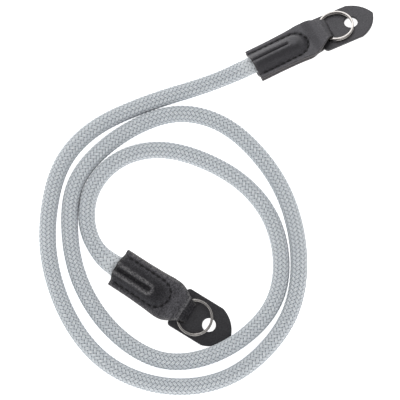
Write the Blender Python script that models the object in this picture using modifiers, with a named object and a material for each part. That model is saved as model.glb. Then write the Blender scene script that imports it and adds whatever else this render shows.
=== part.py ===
"""Camera neck strap: a round braided rope with a folded leather tab, a split ring and a leather
protector pad at each end, lying in loose loops on a flat surface.

Metres, +Z up, the surface at z = 0. The origin is the middle of the box around the two ends.
"""

import math

import bpy
import numpy as np
from mathutils import Euler, Matrix, Vector

MM = 0.001

# ---------------------------------------------------------------- driving dimensions (metres)

ROPE_DIAMETER = 9.4 * MM
ROPE_STEP = 14.0 * MM            # distance between the tube's rings along the route
ROPE_IN_TAB = 26.0 * MM          # rope end held inside each tab
ROPE_TAPER = 4.0 * MM            # from the mouth to where the seam squeezes it
ROPE_STRAIGHT_OUT = 6.0 * MM     # it leaves the mouth straight for this far
ROPE_MOUTH_RADIUS = 3.85 * MM    # squeezed by the tab's two layers at the mouth
ROPE_SEWN_RADIUS = 2.6 * MM      # squeezed further along the sewn groove

LEATHER = 1.5 * MM               # tab leather
GAP = 0.3 * MM                   # between pieces, and between the tab's two layers

TAB_LENGTH = 47.8 * MM           # mouth to the outside of the fold
LOOP_INSIDE = 5.4 * MM           # clear height inside the loop at the fold
LOOP_START = 40.5 * MM           # full loop height from here to the fold
FLANGE_END = 30.5 * MM           # the two layers lie together up to here

BULGE_HEIGHT = 4.05 * MM         # each layer's rise over the rope
BULGE_HALF_WIDTH = 8.2 * MM
BULGE_LENGTH = 33.2 * MM         # mouth to the round end of the bulge
BULGE_FLATNESS = 1.6             # 1 is a plain wave, more gives a flatter top
GROOVE_DEPTH = 1.2 * MM          # seam sewn down the middle of the rope
GROOVE_HALF_WIDTH = 1.1 * MM
GROOVE_LENGTH = 22.5 * MM
GROOVE_LEAD_IN = 6.0 * MM        # the groove fades out at the mouth

RING_OUTER_DIAMETER = 21.0 * MM
RING_WIRE_WIDTH = 1.5 * MM       # across the band, in the ring's plane
RING_WIRE_HEIGHT = 0.9 * MM
RING_WIRE_CUT = 0.25 * MM        # cut corners of its section
RING_TURN_RISE = 1.0 * MM        # one turn lies this much above the other
RING_RAMP = 0.06                 # share of a turn, on each side of the notch, that climbs
RING_STEPS = 64                  # straight pieces in its two turns
RING_NOTCH_AT = -140.0           # degrees from the tab's direction
RING_HEIGHT_IN_LOOP = 0.45 * MM  # ring's middle above the tab's middle plane

PAD_THICKNESS = 1.6 * MM
PAD_HALF_WIDTH = 11.9 * MM
PAD_LENGTH = 33.9 * MM
PAD_SHOULDER = 21.9 * MM         # straight sides end here, round flanks run to the tip
PAD_FLANK_RADIUS = 17.6 * MM
PAD_CORNER_RADIUS = 2.2 * MM
PAD_HOLE_DIAMETER = 7.6 * MM
PAD_HOLE_AT = 19.9 * MM
PAD_HOLE_SIDES = 24
PAD_FLANK_SIDES = 7
PAD_BRIDGE = 3.0 * MM            # leather between the inner end and the slot
PAD_SLOT_LENGTH = 5.4 * MM
PAD_SLOT_HALF_WIDTH = 8.3 * MM
PAD_SLOT_CORNER = 0.8 * MM
PAD_HEIGHT_IN_LOOP = -1.5 * MM   # pad's middle above the tab's middle plane

# The tab's flat leather strip (millimetres). Columns: distance from the mouth, half width.
TAB_OUTLINE = (
    (0.0, 11.2),
    (13.0, 11.2),
    (24.0, 11.6),
    (31.5, 12.1),
    (34.5, 11.9),
    (37.0, 11.1),
    (39.5, 9.8),
    (42.0, 8.2),
    (44.0, 7.0),
    (47.8, 5.8),
)

# Where the tab's cross sections stand between its mouth and the start of the fold (millimetres).
TAB_STATIONS = (0.0, 1.5, 3.0, 7.0, 12.0, 17.0, 20.5, 22.5, 24.5, 26.5, 28.5, 30.2, 31.8, 33.2,
                35.0, 37.0, 39.0, 41.0, 43.5)
FOLD_STEPS = 8

# Points across the tab, as shares of its half width.
TAB_ACROSS = (0.0, 0.1, 0.22, 0.36, 0.5, 0.63, 0.75, 1.0)

# How each end lies. Its mouth is in millimetres and its angles in degrees: the heading is the tab's
# direction in the XY plane, nose_up lifts its fold, roll lifts its left edge, turn swings to its
# left. The neck turns the loop against the sewn part, the pad and ring are turned in the loop.
END_COLUMNS = ("name", "mouth_x", "mouth_y", "mouth_z", "heading", "nose_up", "roll",
               "neck_nose_up", "neck_roll", "neck_turn",
               "pad_nose_up", "pad_turn", "ring_nose_up")
ENDS = (
    ("a", 6.94, 61.5, 6.2, 26.2, 2.8, -24.0, -3.0, 4.0, 3.2, -3.6, -3.0, -3.6),
    ("b", -68.85, -54.82, 6.14, -33.7, 0.2, 22.0, -4.0, -17.0, 0.0, -2.2, 1.0, -2.2),
)

# Where the ring's middle and the pad's inner end lie in each loop, in millimetres from the tab's
# mouth and to its left.
LOOP_COLUMNS = ("ring_from_mouth", "ring_left", "pad_from_mouth")
LOOPS = {
    "a": (51.7, 0.1, 40.8),
    "b": (50.2, -0.9, 39.5),
}
NECK_BEND_START = 24.0 * MM
NECK_BEND_END = 40.0 * MM

# The rope's route on the surface, from tab A to tab B (millimetres). Columns: x, y.
ROUTE = (
    (-16.5, 51.9),
    (-39.5, 44.9),
    (-62.5, 36.4),
    (-84.5, 24.4),
    (-100.5, 5.9),
    (-107.5, -17.6),
    (-108.5, -42.1),
    (-103.5, -66.1),
    (-93.0, -88.6),
    (-77.0, -107.1),
    (-55.0, -118.6),
    (-30.5, -121.6),
    (-7.0, -115.6),
    (12.5, -100.6),
    (26.0, -80.1),
    (31.0, -56.1),
    (29.0, -31.6),
    (21.0, -8.1),
    (7.0, 12.4),
    (-11.5, 27.9),
    (-35.5, 33.9),
    (-59.0, 26.9),
    (-79.0, 12.9),
    (-93.5, -7.1),
    (-96.5, -31.6),
    (-92.5, -56.1),
    (-82.0, -78.1),
    (-65.0, -96.6),
    (-43.5, -107.1),
    (-19.0, -104.6),
    (2.5, -92.1),
    (17.5, -72.6),
    (21.0, -48.6),
    (14.5, -24.6),
    (-1.0, -5.6),
    (-22.0, 6.9),
    (-46.0, 12.9),
    (-69.5, 6.9),
    (-85.0, -12.1),
    (-85.0, -36.1),
)

ROPE_COLOUR = (0.42, 0.46, 0.49, 1.0)
LEATHER_COLOUR = (0.022, 0.022, 0.024, 1.0)
PAD_COLOUR = (0.016, 0.016, 0.017, 1.0)
STEEL_COLOUR = (0.58, 0.55, 0.53, 1.0)


# ---------------------------------------------------------------- scene and materials

def clear_scene():
    for obj in list(bpy.data.objects):
        bpy.data.objects.remove(obj, do_unlink=True)


def new_collection(name):
    collection = bpy.data.collections.new(name)
    bpy.context.scene.collection.children.link(collection)
    return collection


def new_material(name, colour, roughness, metallic=0.0):
    material = bpy.data.materials.new(name)
    material.use_nodes = True
    shader = material.node_tree.nodes["Principled BSDF"]
    shader.inputs["Base Color"].default_value = colour
    shader.inputs["Roughness"].default_value = roughness
    shader.inputs["Metallic"].default_value = metallic
    return material


def add_object(name, data, collection, material=None):
    obj = bpy.data.objects.new(name, data)
    collection.objects.link(obj)
    if material is not None:
        data.materials.append(material)
    return obj


def as_guide(obj):
    obj.hide_render = True
    obj.display_type = "WIRE"


# ---------------------------------------------------------------- curves and rules

def smooth_step(value, start, end):
    """0 before start, 1 after end, and a smooth rise between them."""
    share = np.clip((value - start) / (end - start), 0.0, 1.0)
    return share * share * (3.0 - 2.0 * share)


def smooth_step_area(value, start, end):
    """The area under smooth_step from its start up to value."""
    span = end - start
    share = np.clip((value - start) / span, 0.0, 1.0)
    return span * (share ** 3 - 0.5 * share ** 4) + np.maximum(value - end, 0.0)


def natural_spline(points, spacing):
    """Points about spacing apart on the natural cubic spline through the given points."""
    points = np.asarray(points, dtype=float)
    steps = np.linalg.norm(np.diff(points, axis=0), axis=1)
    knots = np.concatenate(([0.0], np.cumsum(steps)))
    count = len(points)
    system = np.eye(count)
    right = np.zeros_like(points)
    for i in range(1, count - 1):
        system[i, i - 1] = steps[i - 1]
        system[i, i] = 2.0 * (steps[i - 1] + steps[i])
        system[i, i + 1] = steps[i]
        slope_after = (points[i + 1] - points[i]) / steps[i]
        slope_before = (points[i] - points[i - 1]) / steps[i - 1]
        right[i] = 6.0 * (slope_after - slope_before)
    bend = np.linalg.solve(system, right)
    wanted = np.linspace(0.0, knots[-1], round(knots[-1] / spacing) + 1)
    piece = np.clip(np.searchsorted(knots, wanted, side="right") - 1, 0, count - 2)
    step = steps[piece][:, None]
    before = (knots[piece + 1] - wanted)[:, None]
    after = (wanted - knots[piece])[:, None]
    cubic = (bend[piece] * before ** 3 + bend[piece + 1] * after ** 3) / (6.0 * step)
    line = ((points[piece] / step - bend[piece] * step / 6.0) * before
            + (points[piece + 1] / step - bend[piece + 1] * step / 6.0) * after)
    return cubic + line


# ---------------------------------------------------------------- how an end lies

def end_row(row):
    """One row of ENDS, with its row of LOOPS, as a dictionary of metres and radians."""
    end = dict(zip(END_COLUMNS, row))
    for key, value in end.items():
        if key.startswith("mouth"):
            end[key] = value * MM
        elif key != "name":
            end[key] = math.radians(value)
    for key, value in zip(LOOP_COLUMNS, LOOPS[end["name"]]):
        end[key] = value * MM
    return end


def end_matrix(end):
    """The tab's frame: its mouth at the origin, +X to the fold, +Y to its left, +Z off its face."""
    turn = Euler((end["roll"], -end["nose_up"], end["heading"]), "XYZ").to_matrix().to_4x4()
    return Matrix.Translation((end["mouth_x"], end["mouth_y"], end["mouth_z"])) @ turn


def neck_bend(end, along):
    """How far the bend has come at a distance from the mouth, and its lift and drift there."""
    area = smooth_step_area(along, NECK_BEND_START, NECK_BEND_END)
    share = smooth_step(along, NECK_BEND_START, NECK_BEND_END)
    return share, math.tan(end["neck_nose_up"]) * area, math.tan(end["neck_turn"]) * area


def bend_neck(end, along, across, up):
    """Take points of the flat tab to the tab whose neck is tilted, twisted and turned."""
    share, lift, drift = neck_bend(end, along)
    roll = end["neck_roll"] * share
    tilt = end["neck_nose_up"] * share
    turn = end["neck_turn"] * share
    rolled_across = across * np.cos(roll) - up * np.sin(roll)
    rolled_up = across * np.sin(roll) + up * np.cos(roll)
    back = rolled_across * np.sin(turn) + rolled_up * np.sin(tilt)
    return np.stack((along - back, drift + rolled_across * np.cos(turn),
                     lift + rolled_up * np.cos(tilt)), axis=-1)


def neck_matrix(end, along, left, height, turns):
    """The frame of a piece held in the loop, at a distance from the mouth, aside and up."""
    _, lift, drift = neck_bend(end, along)
    neck = Euler((end["neck_roll"], -end["neck_nose_up"], end["neck_turn"]), "XYZ")
    return (Matrix.Translation((along, float(drift), float(lift))) @ neck.to_matrix().to_4x4()
            @ Matrix.Translation((0.0, left, height)) @ Euler(turns, "XYZ").to_matrix().to_4x4())


# ---------------------------------------------------------------- end tabs

def half_width(along):
    rows = np.array(TAB_OUTLINE) * MM
    return np.interp(along, rows[:, 0], rows[:, 1])


def bulge(along, across):
    """Rise of a layer over the rope: a ridge with a round end, less the sewn groove."""
    past_straight = np.maximum(along - (BULGE_LENGTH - BULGE_HALF_WIDTH), 0.0)
    share = np.minimum(np.hypot(past_straight, across) / BULGE_HALF_WIDTH, 1.0)
    ridge = BULGE_HEIGHT * np.cos(0.5 * math.pi * share ** BULGE_FLATNESS) ** 2
    past_groove = np.maximum(along - (GROOVE_LENGTH - GROOVE_HALF_WIDTH), 0.0)
    from_groove = np.hypot(past_groove, across) / GROOVE_HALF_WIDTH
    groove = GROOVE_DEPTH * np.exp(-from_groove ** 2) * smooth_step(along, 0.0, GROOVE_LEAD_IN)
    return ridge - groove


def tab_sections():
    """Middle of the leather strip as (distance from mouth, height, +1 upper or -1 lower layer)."""
    together = 0.5 * (GAP + LEATHER)
    open_height = 0.5 * (LOOP_INSIDE + LEATHER)
    upper = []
    for station in TAB_STATIONS:
        along = station * MM
        opening = float(smooth_step(along, FLANGE_END, LOOP_START))
        upper.append((along, together + (open_height - together) * opening, 1.0))
    fold_centre = TAB_LENGTH - open_height - 0.5 * LEATHER
    fold = []
    for i in range(1, FOLD_STEPS):
        angle = 0.5 * math.pi - math.pi * i / FOLD_STEPS
        fold.append((fold_centre + open_height * math.cos(angle), open_height * math.sin(angle), 0.0))
    lower = [(along, -height, -1.0) for along, height, layer in reversed(upper)]
    return np.array(upper + fold + lower)


def tab_grid(end):
    """Middle surface of the folded strip: a grid of sections along it and shares across it."""
    sections = tab_sections()
    shares = np.array([-share for share in reversed(TAB_ACROSS[1:])] + list(TAB_ACROSS))
    along = np.repeat(sections[:, :1], len(shares), axis=1)
    height = np.repeat(sections[:, 1:2], len(shares), axis=1)
    layer = np.repeat(sections[:, 2:3], len(shares), axis=1)
    across = half_width(along) * shares[None, :]
    up = height + layer * bulge(along, across)
    return bend_neck(end, along, across, up)


def make_tab(end, collection, material):
    grid = tab_grid(end)
    rows, columns = grid.shape[:2]
    corner = np.arange((rows - 1) * columns).reshape(rows - 1, columns)[:, :-1].ravel()
    faces = np.stack((corner, corner + columns, corner + columns + 1, corner + 1), axis=1)
    mesh = bpy.data.meshes.new("end_tab_" + end["name"])
    mesh.from_pydata(grid.reshape(-1, 3).tolist(), [], faces.tolist())
    mesh.update()
    tab = add_object(mesh.name, mesh, collection, material)
    wall = tab.modifiers.new("leather", "SOLIDIFY")
    wall.thickness = LEATHER
    wall.offset = 0.0
    wall.use_even_offset = True
    mesh.shade_smooth()
    tab.matrix_world = end_matrix(end)
    return tab


# ---------------------------------------------------------------- split rings

def wire_profile(collection):
    """Guide with the ring wire's section: a rectangle with cut corners."""
    half_w = 0.5 * RING_WIRE_WIDTH
    half_h = 0.5 * RING_WIRE_HEIGHT
    inner_w = half_w - RING_WIRE_CUT
    inner_h = half_h - RING_WIRE_CUT
    outline = ((half_w, -inner_h), (inner_w, -half_h), (-inner_w, -half_h), (-half_w, -inner_h),
               (-half_w, inner_h), (-inner_w, half_h), (inner_w, half_h), (half_w, inner_h))
    curve = bpy.data.curves.new("split_ring_section", "CURVE")
    curve.dimensions = "2D"
    spline = curve.splines.new("POLY")
    spline.points.add(len(outline) - 1)
    for point, (x, y) in zip(spline.points, outline):
        point.co = (x, y, 0.0, 1.0)
    spline.use_cyclic_u = True
    guide = add_object(curve.name, curve, collection)
    as_guide(guide)
    return guide


def ring_points():
    """Two turns that lie on each other, joined by a short ramp, with a notch at the ramp."""
    radius = 0.5 * (RING_OUTER_DIAMETER - RING_WIRE_WIDTH)
    turns = np.linspace(RING_RAMP, 2.0 - RING_RAMP, RING_STEPS + 1)
    angle = 2.0 * math.pi * turns
    rise = smooth_step(turns, 1.0 - RING_RAMP, 1.0 + RING_RAMP) - 0.5
    return np.stack((radius * np.cos(angle), radius * np.sin(angle), RING_TURN_RISE * rise), axis=1)


def make_ring(end, profile, collection, material, holder):
    curve = bpy.data.curves.new("split_ring_" + end["name"], "CURVE")
    curve.dimensions = "3D"
    curve.twist_mode = "Z_UP"
    curve.bevel_mode = "OBJECT"
    curve.bevel_object = profile
    curve.use_fill_caps = True
    points = ring_points()
    spline = curve.splines.new("POLY")
    spline.points.add(len(points) - 1)
    for point, (x, y, z) in zip(spline.points, points):
        point.co = (x, y, z, 1.0)
    ring = add_object(curve.name, curve, collection, material)
    ring.parent = holder
    place = neck_matrix(end, end["ring_from_mouth"], end["ring_left"], RING_HEIGHT_IN_LOOP,
                        (0.0, -end["ring_nose_up"], 0.0))
    ring.matrix_local = place @ Matrix.Rotation(math.radians(RING_NOTCH_AT), 4, "Z")
    return ring


# ---------------------------------------------------------------- protector pads

def arc(centre, radius, start, stop, steps):
    """Points on an arc between two angles in degrees."""
    angles = np.radians(np.linspace(start, stop, steps + 1))
    return [(centre[0] + radius * math.cos(a), centre[1] + radius * math.sin(a)) for a in angles]


def pad_outline():
    """Inner end with round corners, straight sides, and two round flanks that meet at the tip."""
    chord = Vector((PAD_LENGTH - PAD_SHOULDER, -PAD_HALF_WIDTH))
    middle = Vector((PAD_SHOULDER, PAD_HALF_WIDTH)) + 0.5 * chord
    inward = Vector((chord.y, -chord.x)).normalized()
    reach = math.sqrt(PAD_FLANK_RADIUS ** 2 - 0.25 * chord.length_squared)
    centre = middle + reach * inward
    start = math.degrees(math.atan2(PAD_HALF_WIDTH - centre.y, PAD_SHOULDER - centre.x))
    stop = math.degrees(math.atan2(-centre.y, PAD_LENGTH - centre.x))
    flank = arc(centre, PAD_FLANK_RADIUS, start, stop, PAD_FLANK_SIDES)
    corner = (PAD_CORNER_RADIUS, PAD_HALF_WIDTH - PAD_CORNER_RADIUS)
    left = arc(corner, PAD_CORNER_RADIUS, 180.0, 90.0, 3) + flank
    right = [(x, -y) for x, y in reversed(left[:-1])]
    return left + right


def slot_outline():
    """The slot the tab's strip passes through: a rectangle with round corners."""
    near = PAD_BRIDGE + PAD_SLOT_CORNER
    far = PAD_BRIDGE + PAD_SLOT_LENGTH - PAD_SLOT_CORNER
    side = PAD_SLOT_HALF_WIDTH - PAD_SLOT_CORNER
    corners = (((far, side), 0.0), ((near, side), 90.0), ((near, -side), 180.0), ((far, -side), 270.0))
    points = []
    for centre, start in corners:
        points += arc(centre, PAD_SLOT_CORNER, start, start + 90.0, 2)
    return points


def make_pad(end, collection, material, holder):
    curve = bpy.data.curves.new("protector_pad_" + end["name"], "CURVE")
    curve.dimensions = "2D"
    curve.fill_mode = "BOTH"
    curve.extrude = 0.5 * PAD_THICKNESS
    hole = arc((PAD_HOLE_AT, 0.0), 0.5 * PAD_HOLE_DIAMETER, 0.0, 360.0, PAD_HOLE_SIDES)[:-1]
    for outline in (pad_outline(), slot_outline(), hole):
        spline = curve.splines.new("POLY")
        spline.points.add(len(outline) - 1)
        for point, (x, y) in zip(spline.points, outline):
            point.co = (x, y, 0.0, 1.0)
        spline.use_cyclic_u = True
    pad = add_object(curve.name, curve, collection, material)
    pad.parent = holder
    bridge = 0.5 * PAD_BRIDGE
    place = neck_matrix(end, end["pad_from_mouth"] + bridge, 0.0, PAD_HEIGHT_IN_LOOP,
                        (0.0, -end["pad_nose_up"], end["pad_turn"]))
    pad.matrix_local = place @ Matrix.Translation((-bridge, 0.0, 0.0))
    return pad


# ---------------------------------------------------------------- rope

def rope_end(end):
    """The rope's middle at a tab: its end inside, where the seam grips it, the mouth, outside."""
    matrix = end_matrix(end)
    places = (ROPE_IN_TAB, ROPE_TAPER, 0.0, -ROPE_STRAIGHT_OUT)
    return [tuple(matrix @ Vector((along, 0.0, 0.0))) for along in places]


def rope_points():
    """Middle of the rope from deep in tab A to deep in tab B, and its radius at each point."""
    height = 0.5 * ROPE_DIAMETER
    first, last = (rope_end(end_row(row)) for row in ENDS)
    route = [(x * MM, y * MM, height) for x, y in ROUTE]
    free = natural_spline(first[2:] + route + last[:1:-1], ROPE_STEP)
    free[1:-1, 2] = np.maximum(free[1:-1, 2], height)
    free_radii = np.full(len(free), height)
    free_radii[[0, -1]] = ROPE_MOUTH_RADIUS
    sewn_radii = np.full(2, ROPE_SEWN_RADIUS)
    points = np.concatenate((first[:2], free, last[1::-1]))
    return points, np.concatenate((sewn_radii, free_radii, sewn_radii))


def make_rope(collection, material):
    points, radii = rope_points()
    curve = bpy.data.curves.new("rope", "CURVE")
    curve.dimensions = "3D"
    curve.bevel_depth = 0.5 * ROPE_DIAMETER
    curve.bevel_resolution = 4
    curve.use_fill_caps = True
    spline = curve.splines.new("POLY")
    spline.points.add(len(points) - 1)
    for point, place, radius in zip(spline.points, points, radii):
        point.co = (*place, 1.0)
        point.radius = radius / (0.5 * ROPE_DIAMETER)
    return add_object("rope", curve, collection, material)


# ---------------------------------------------------------------- assembly

def main():
    clear_scene()
    parts = new_collection("camera_neck_strap")
    guides = new_collection("guides")
    rope_cord = new_material("braided_cord", ROPE_COLOUR, 0.85)
    tab_leather = new_material("tab_leather", LEATHER_COLOUR, 0.55)
    pad_leather = new_material("pad_leather", PAD_COLOUR, 0.6)
    steel = new_material("ring_steel", STEEL_COLOUR, 0.25, 1.0)
    profile = wire_profile(guides)
    for row in ENDS:
        end = end_row(row)
        make_tab(end, parts, tab_leather)
        holder = bpy.data.objects.new("loop_frame_" + end["name"], None)
        parts.objects.link(holder)
        holder.matrix_world = end_matrix(end)
        make_ring(end, profile, parts, steel, holder)
        make_pad(end, parts, pad_leather, holder)
    make_rope(parts, rope_cord)
    bpy.context.view_layer.update()


main()
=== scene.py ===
"""Camera neck strap: a round braided rope with a folded leather tab, a steel split ring and a
leather protector pad at each end, laid in loose loops on a pale floor.

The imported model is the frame. Each piece here stands for one of its solids: the rope gets its
braid, the tabs their seams and grain, the pads and rings their worked edges. Sizes are in
millimetres where a name or a comment says so, and in metres otherwise.
"""

from __future__ import annotations

import logging
import math
from dataclasses import dataclass, field
from enum import Enum
from functools import cache

import bmesh
import bpy
import numpy as np
from mathutils import Euler, Matrix, Vector

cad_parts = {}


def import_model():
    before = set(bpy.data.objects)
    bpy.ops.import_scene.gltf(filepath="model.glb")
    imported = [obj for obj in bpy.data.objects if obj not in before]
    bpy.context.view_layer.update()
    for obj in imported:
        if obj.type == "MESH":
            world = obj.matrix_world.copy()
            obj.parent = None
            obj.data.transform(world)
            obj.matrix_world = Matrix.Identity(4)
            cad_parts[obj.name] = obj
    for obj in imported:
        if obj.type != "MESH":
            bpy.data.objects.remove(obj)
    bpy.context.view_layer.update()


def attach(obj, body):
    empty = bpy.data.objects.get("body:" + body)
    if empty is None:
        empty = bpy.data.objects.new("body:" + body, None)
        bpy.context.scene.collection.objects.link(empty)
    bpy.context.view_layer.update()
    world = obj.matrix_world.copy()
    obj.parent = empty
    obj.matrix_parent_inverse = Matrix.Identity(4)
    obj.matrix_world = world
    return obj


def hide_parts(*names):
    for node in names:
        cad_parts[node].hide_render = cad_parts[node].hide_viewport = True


MM = 0.001
LOG = logging.getLogger("neck_strap")

Array = np.ndarray

UV_NAME = "surface"

# The braid runs two over two. A strand's lift is a cosine that repeats after four crossings, and
# the other family's lags by three. The lift and the strand's own dome share its height.
BRAID_TURN = 0.5 * math.pi
BRAID_LAG = 3.0
LIFT_SHARE = 0.7
DOME_SHARE = 0.3


# ---------------------------------------------------------------- shared rules

def smooth_step(value: Array | float, start: float, end: float) -> Array:
    """Rise smoothly from 0 to 1: with share x between start and end, x squared times (3 - 2x).

    Args:
        value: Where to read the step.
        start: The last value that gives 0.
        end: The first value that gives 1.

    Returns:
        The step at each value.
    """
    share = np.clip((value - start) / (end - start), 0.0, 1.0)
    return share * share * (3.0 - 2.0 * share)


def smooth_step_area(value: Array | float, start: float, end: float) -> Array:
    """Give the area under smooth_step up to a value: x cubed - half x to the fourth, then a line.

    Args:
        value: Where the area ends.
        start: The step's start.
        end: The step's end.

    Returns:
        The area at each value.
    """
    span = end - start
    share = np.clip((value - start) / span, 0.0, 1.0)
    return span * (share ** 3 - 0.5 * share ** 4) + np.maximum(value - end, 0.0)


def hump(distance: Array, width: float) -> Array:
    """Give a round bump: e to the power of minus (distance over width) squared.

    Args:
        distance: Distance from the bump's middle.
        width: The distance at which it has fallen to about a third.

    Returns:
        The bump's height, 1 at its middle.
    """
    return np.exp(-(distance / width) ** 2)


def natural_spline(points: Array, spacing: float) -> Array:
    """Run a natural cubic spline through points, with a knot for each at its chord distance.

    Args:
        points: The points, one a row.
        spacing: The wanted distance between the results.

    Returns:
        Points about that far apart, first and last included.
    """
    steps = np.linalg.norm(np.diff(points, axis=0), axis=1)
    knots = np.concatenate(([0.0], np.cumsum(steps)))
    inner = np.arange(1, len(points) - 1)
    system = np.eye(len(points))
    system[inner, inner - 1] = steps[:-1]
    system[inner, inner] = 2.0 * (steps[:-1] + steps[1:])
    system[inner, inner + 1] = steps[1:]
    slopes = np.diff(points, axis=0) / steps[:, None]
    right = np.zeros_like(points)
    right[1:-1] = 6.0 * np.diff(slopes, axis=0)
    bend = np.linalg.solve(system, right)
    wanted = np.linspace(0.0, knots[-1], round(knots[-1] / spacing) + 1)
    piece = np.clip(np.searchsorted(knots, wanted, side="right") - 1, 0, len(steps) - 1)
    step = steps[piece][:, None]
    before = (knots[piece + 1] - wanted)[:, None]
    after = (wanted - knots[piece])[:, None]
    cubic = (bend[piece] * before ** 3 + bend[piece + 1] * after ** 3) / (6.0 * step)
    line = ((points[piece] / step - bend[piece] * step / 6.0) * before
            + (points[piece + 1] / step - bend[piece + 1] * step / 6.0) * after)
    return cubic + line


def carried(matrix: Matrix, points: Array) -> Array:
    """Take points of any grid shape through a 4 by 4 matrix.

    Args:
        matrix: The matrix.
        points: Points along the last axis.

    Returns:
        The points in the matrix's outer frame.
    """
    table = np.array(matrix)
    return points @ table[:3, :3].T + table[:3, 3]


def grid_faces(rows: int, columns: int, close_columns: bool = False) -> Array:
    """List the quads of a grid whose vertices run along its rows.

    Args:
        rows: Number of rows.
        columns: Number of columns.
        close_columns: Join the last column to the first.

    Returns:
        Four vertex numbers a quad, facing row direction crossed with column direction.
    """
    row = np.arange(rows - 1)[:, None] * columns
    column = np.arange(columns if close_columns else columns - 1)[None, :]
    following = (column + 1) % columns
    quads = np.stack((row + column, row + columns + column, row + columns + following,
                      row + following), axis=-1)
    return quads.reshape(-1, 4)


def tube_faces(count: int, rings: int, sides: int) -> tuple[Array, Array]:
    """List the faces of closed tubes whose vertices run round one ring after another.

    Args:
        count: Number of tubes, one after another.
        rings: Rings in a tube.
        sides: Vertices in a ring. Along the tube crossed with round the ring has to face outwards.

    Returns:
        Four vertex numbers a quad, and the vertex numbers of each end cap.
    """
    starts = np.arange(count)[:, None] * rings * sides
    quads = (starts[:, :, None] + grid_faces(rings, sides, close_columns=True)).reshape(-1, 4)
    cap = np.arange(sides)
    return quads, np.concatenate((starts + cap, starts + cap[::-1] + (rings - 1) * sides))


def shell_faces(rows: int, columns: int) -> Array:
    """List the quads of an outer grid, an equal inner one, and the wall that joins their rims.

    Args:
        rows: Number of rows in each grid.
        columns: Number of columns.

    Returns:
        Four vertex numbers a quad, all facing away from the space between the grids.
    """
    number = np.arange(rows * columns).reshape(rows, columns)
    rim = np.concatenate((number[:, 0], number[-1, 1:], number[-2::-1, -1], number[0, -2:0:-1]))
    following = np.roll(rim, -1)
    wall = np.stack((rim, following, following + number.size, rim + number.size), axis=1)
    skin = grid_faces(rows, columns)
    return np.concatenate((skin, skin[:, ::-1] + number.size, wall[:, ::-1]))


def new_mesh_object(name: str, points: Array, faces: list[list[int]], material: bpy.types.Material,
                    uv: Array | None = None,
                    marks: dict[str, Array] | None = None) -> bpy.types.Object:
    """Make a smooth-shaded mesh object from arrays, with its place in its mesh.

    Args:
        name: Name of the object and its mesh.
        points: Vertices, one a row.
        faces: Vertex numbers of each face.
        material: The finish of the whole mesh.
        uv: A UV pair for each face corner.
        marks: Float attributes, one value a vertex.

    Returns:
        The object, linked to the scene.
    """
    mesh = bpy.data.meshes.new(name)
    mesh.from_pydata(points.reshape(-1, 3), [], faces)
    if uv is not None:
        mesh.uv_layers.new(name=UV_NAME).data.foreach_set("uv", uv.astype(np.float32).ravel())
    for key, values in (marks or {}).items():
        mesh.attributes.new(key, "FLOAT", "POINT").data.foreach_set("value", values.ravel())
    mesh.materials.append(material)
    mesh.shade_smooth()
    mesh.update()
    obj = bpy.data.objects.new(name, mesh)
    bpy.context.scene.collection.objects.link(obj)
    return obj


def place_piece(obj: bpy.types.Object, body: str, nodes: tuple[str, ...] = ()) -> None:
    """Let a piece ride on a body and stand for CAD nodes, and log it.

    Args:
        obj: The piece.
        body: The CAD body that it moves with.
        nodes: The CAD nodes that it replaces.
    """
    if nodes:
        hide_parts(*nodes)
    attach(obj, body)
    LOG.info("%s: %d faces on %s", obj.name, len(obj.data.polygons), body)


# ---------------------------------------------------------------- materials

def linear(colour: str) -> tuple[float, float, float, float]:
    """Turn an sRGB hex colour into linear red, green, blue and alpha.

    Args:
        colour: The colour, such as "#B7BEC2".

    Returns:
        Linear values, alpha 1.
    """
    values = [int(colour[i:i + 2], 16) / 255.0 for i in (1, 3, 5)]
    made = [v / 12.92 if v <= 0.04045 else ((v + 0.055) / 1.055) ** 2.4 for v in values]
    return made[0], made[1], made[2], 1.0


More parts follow.
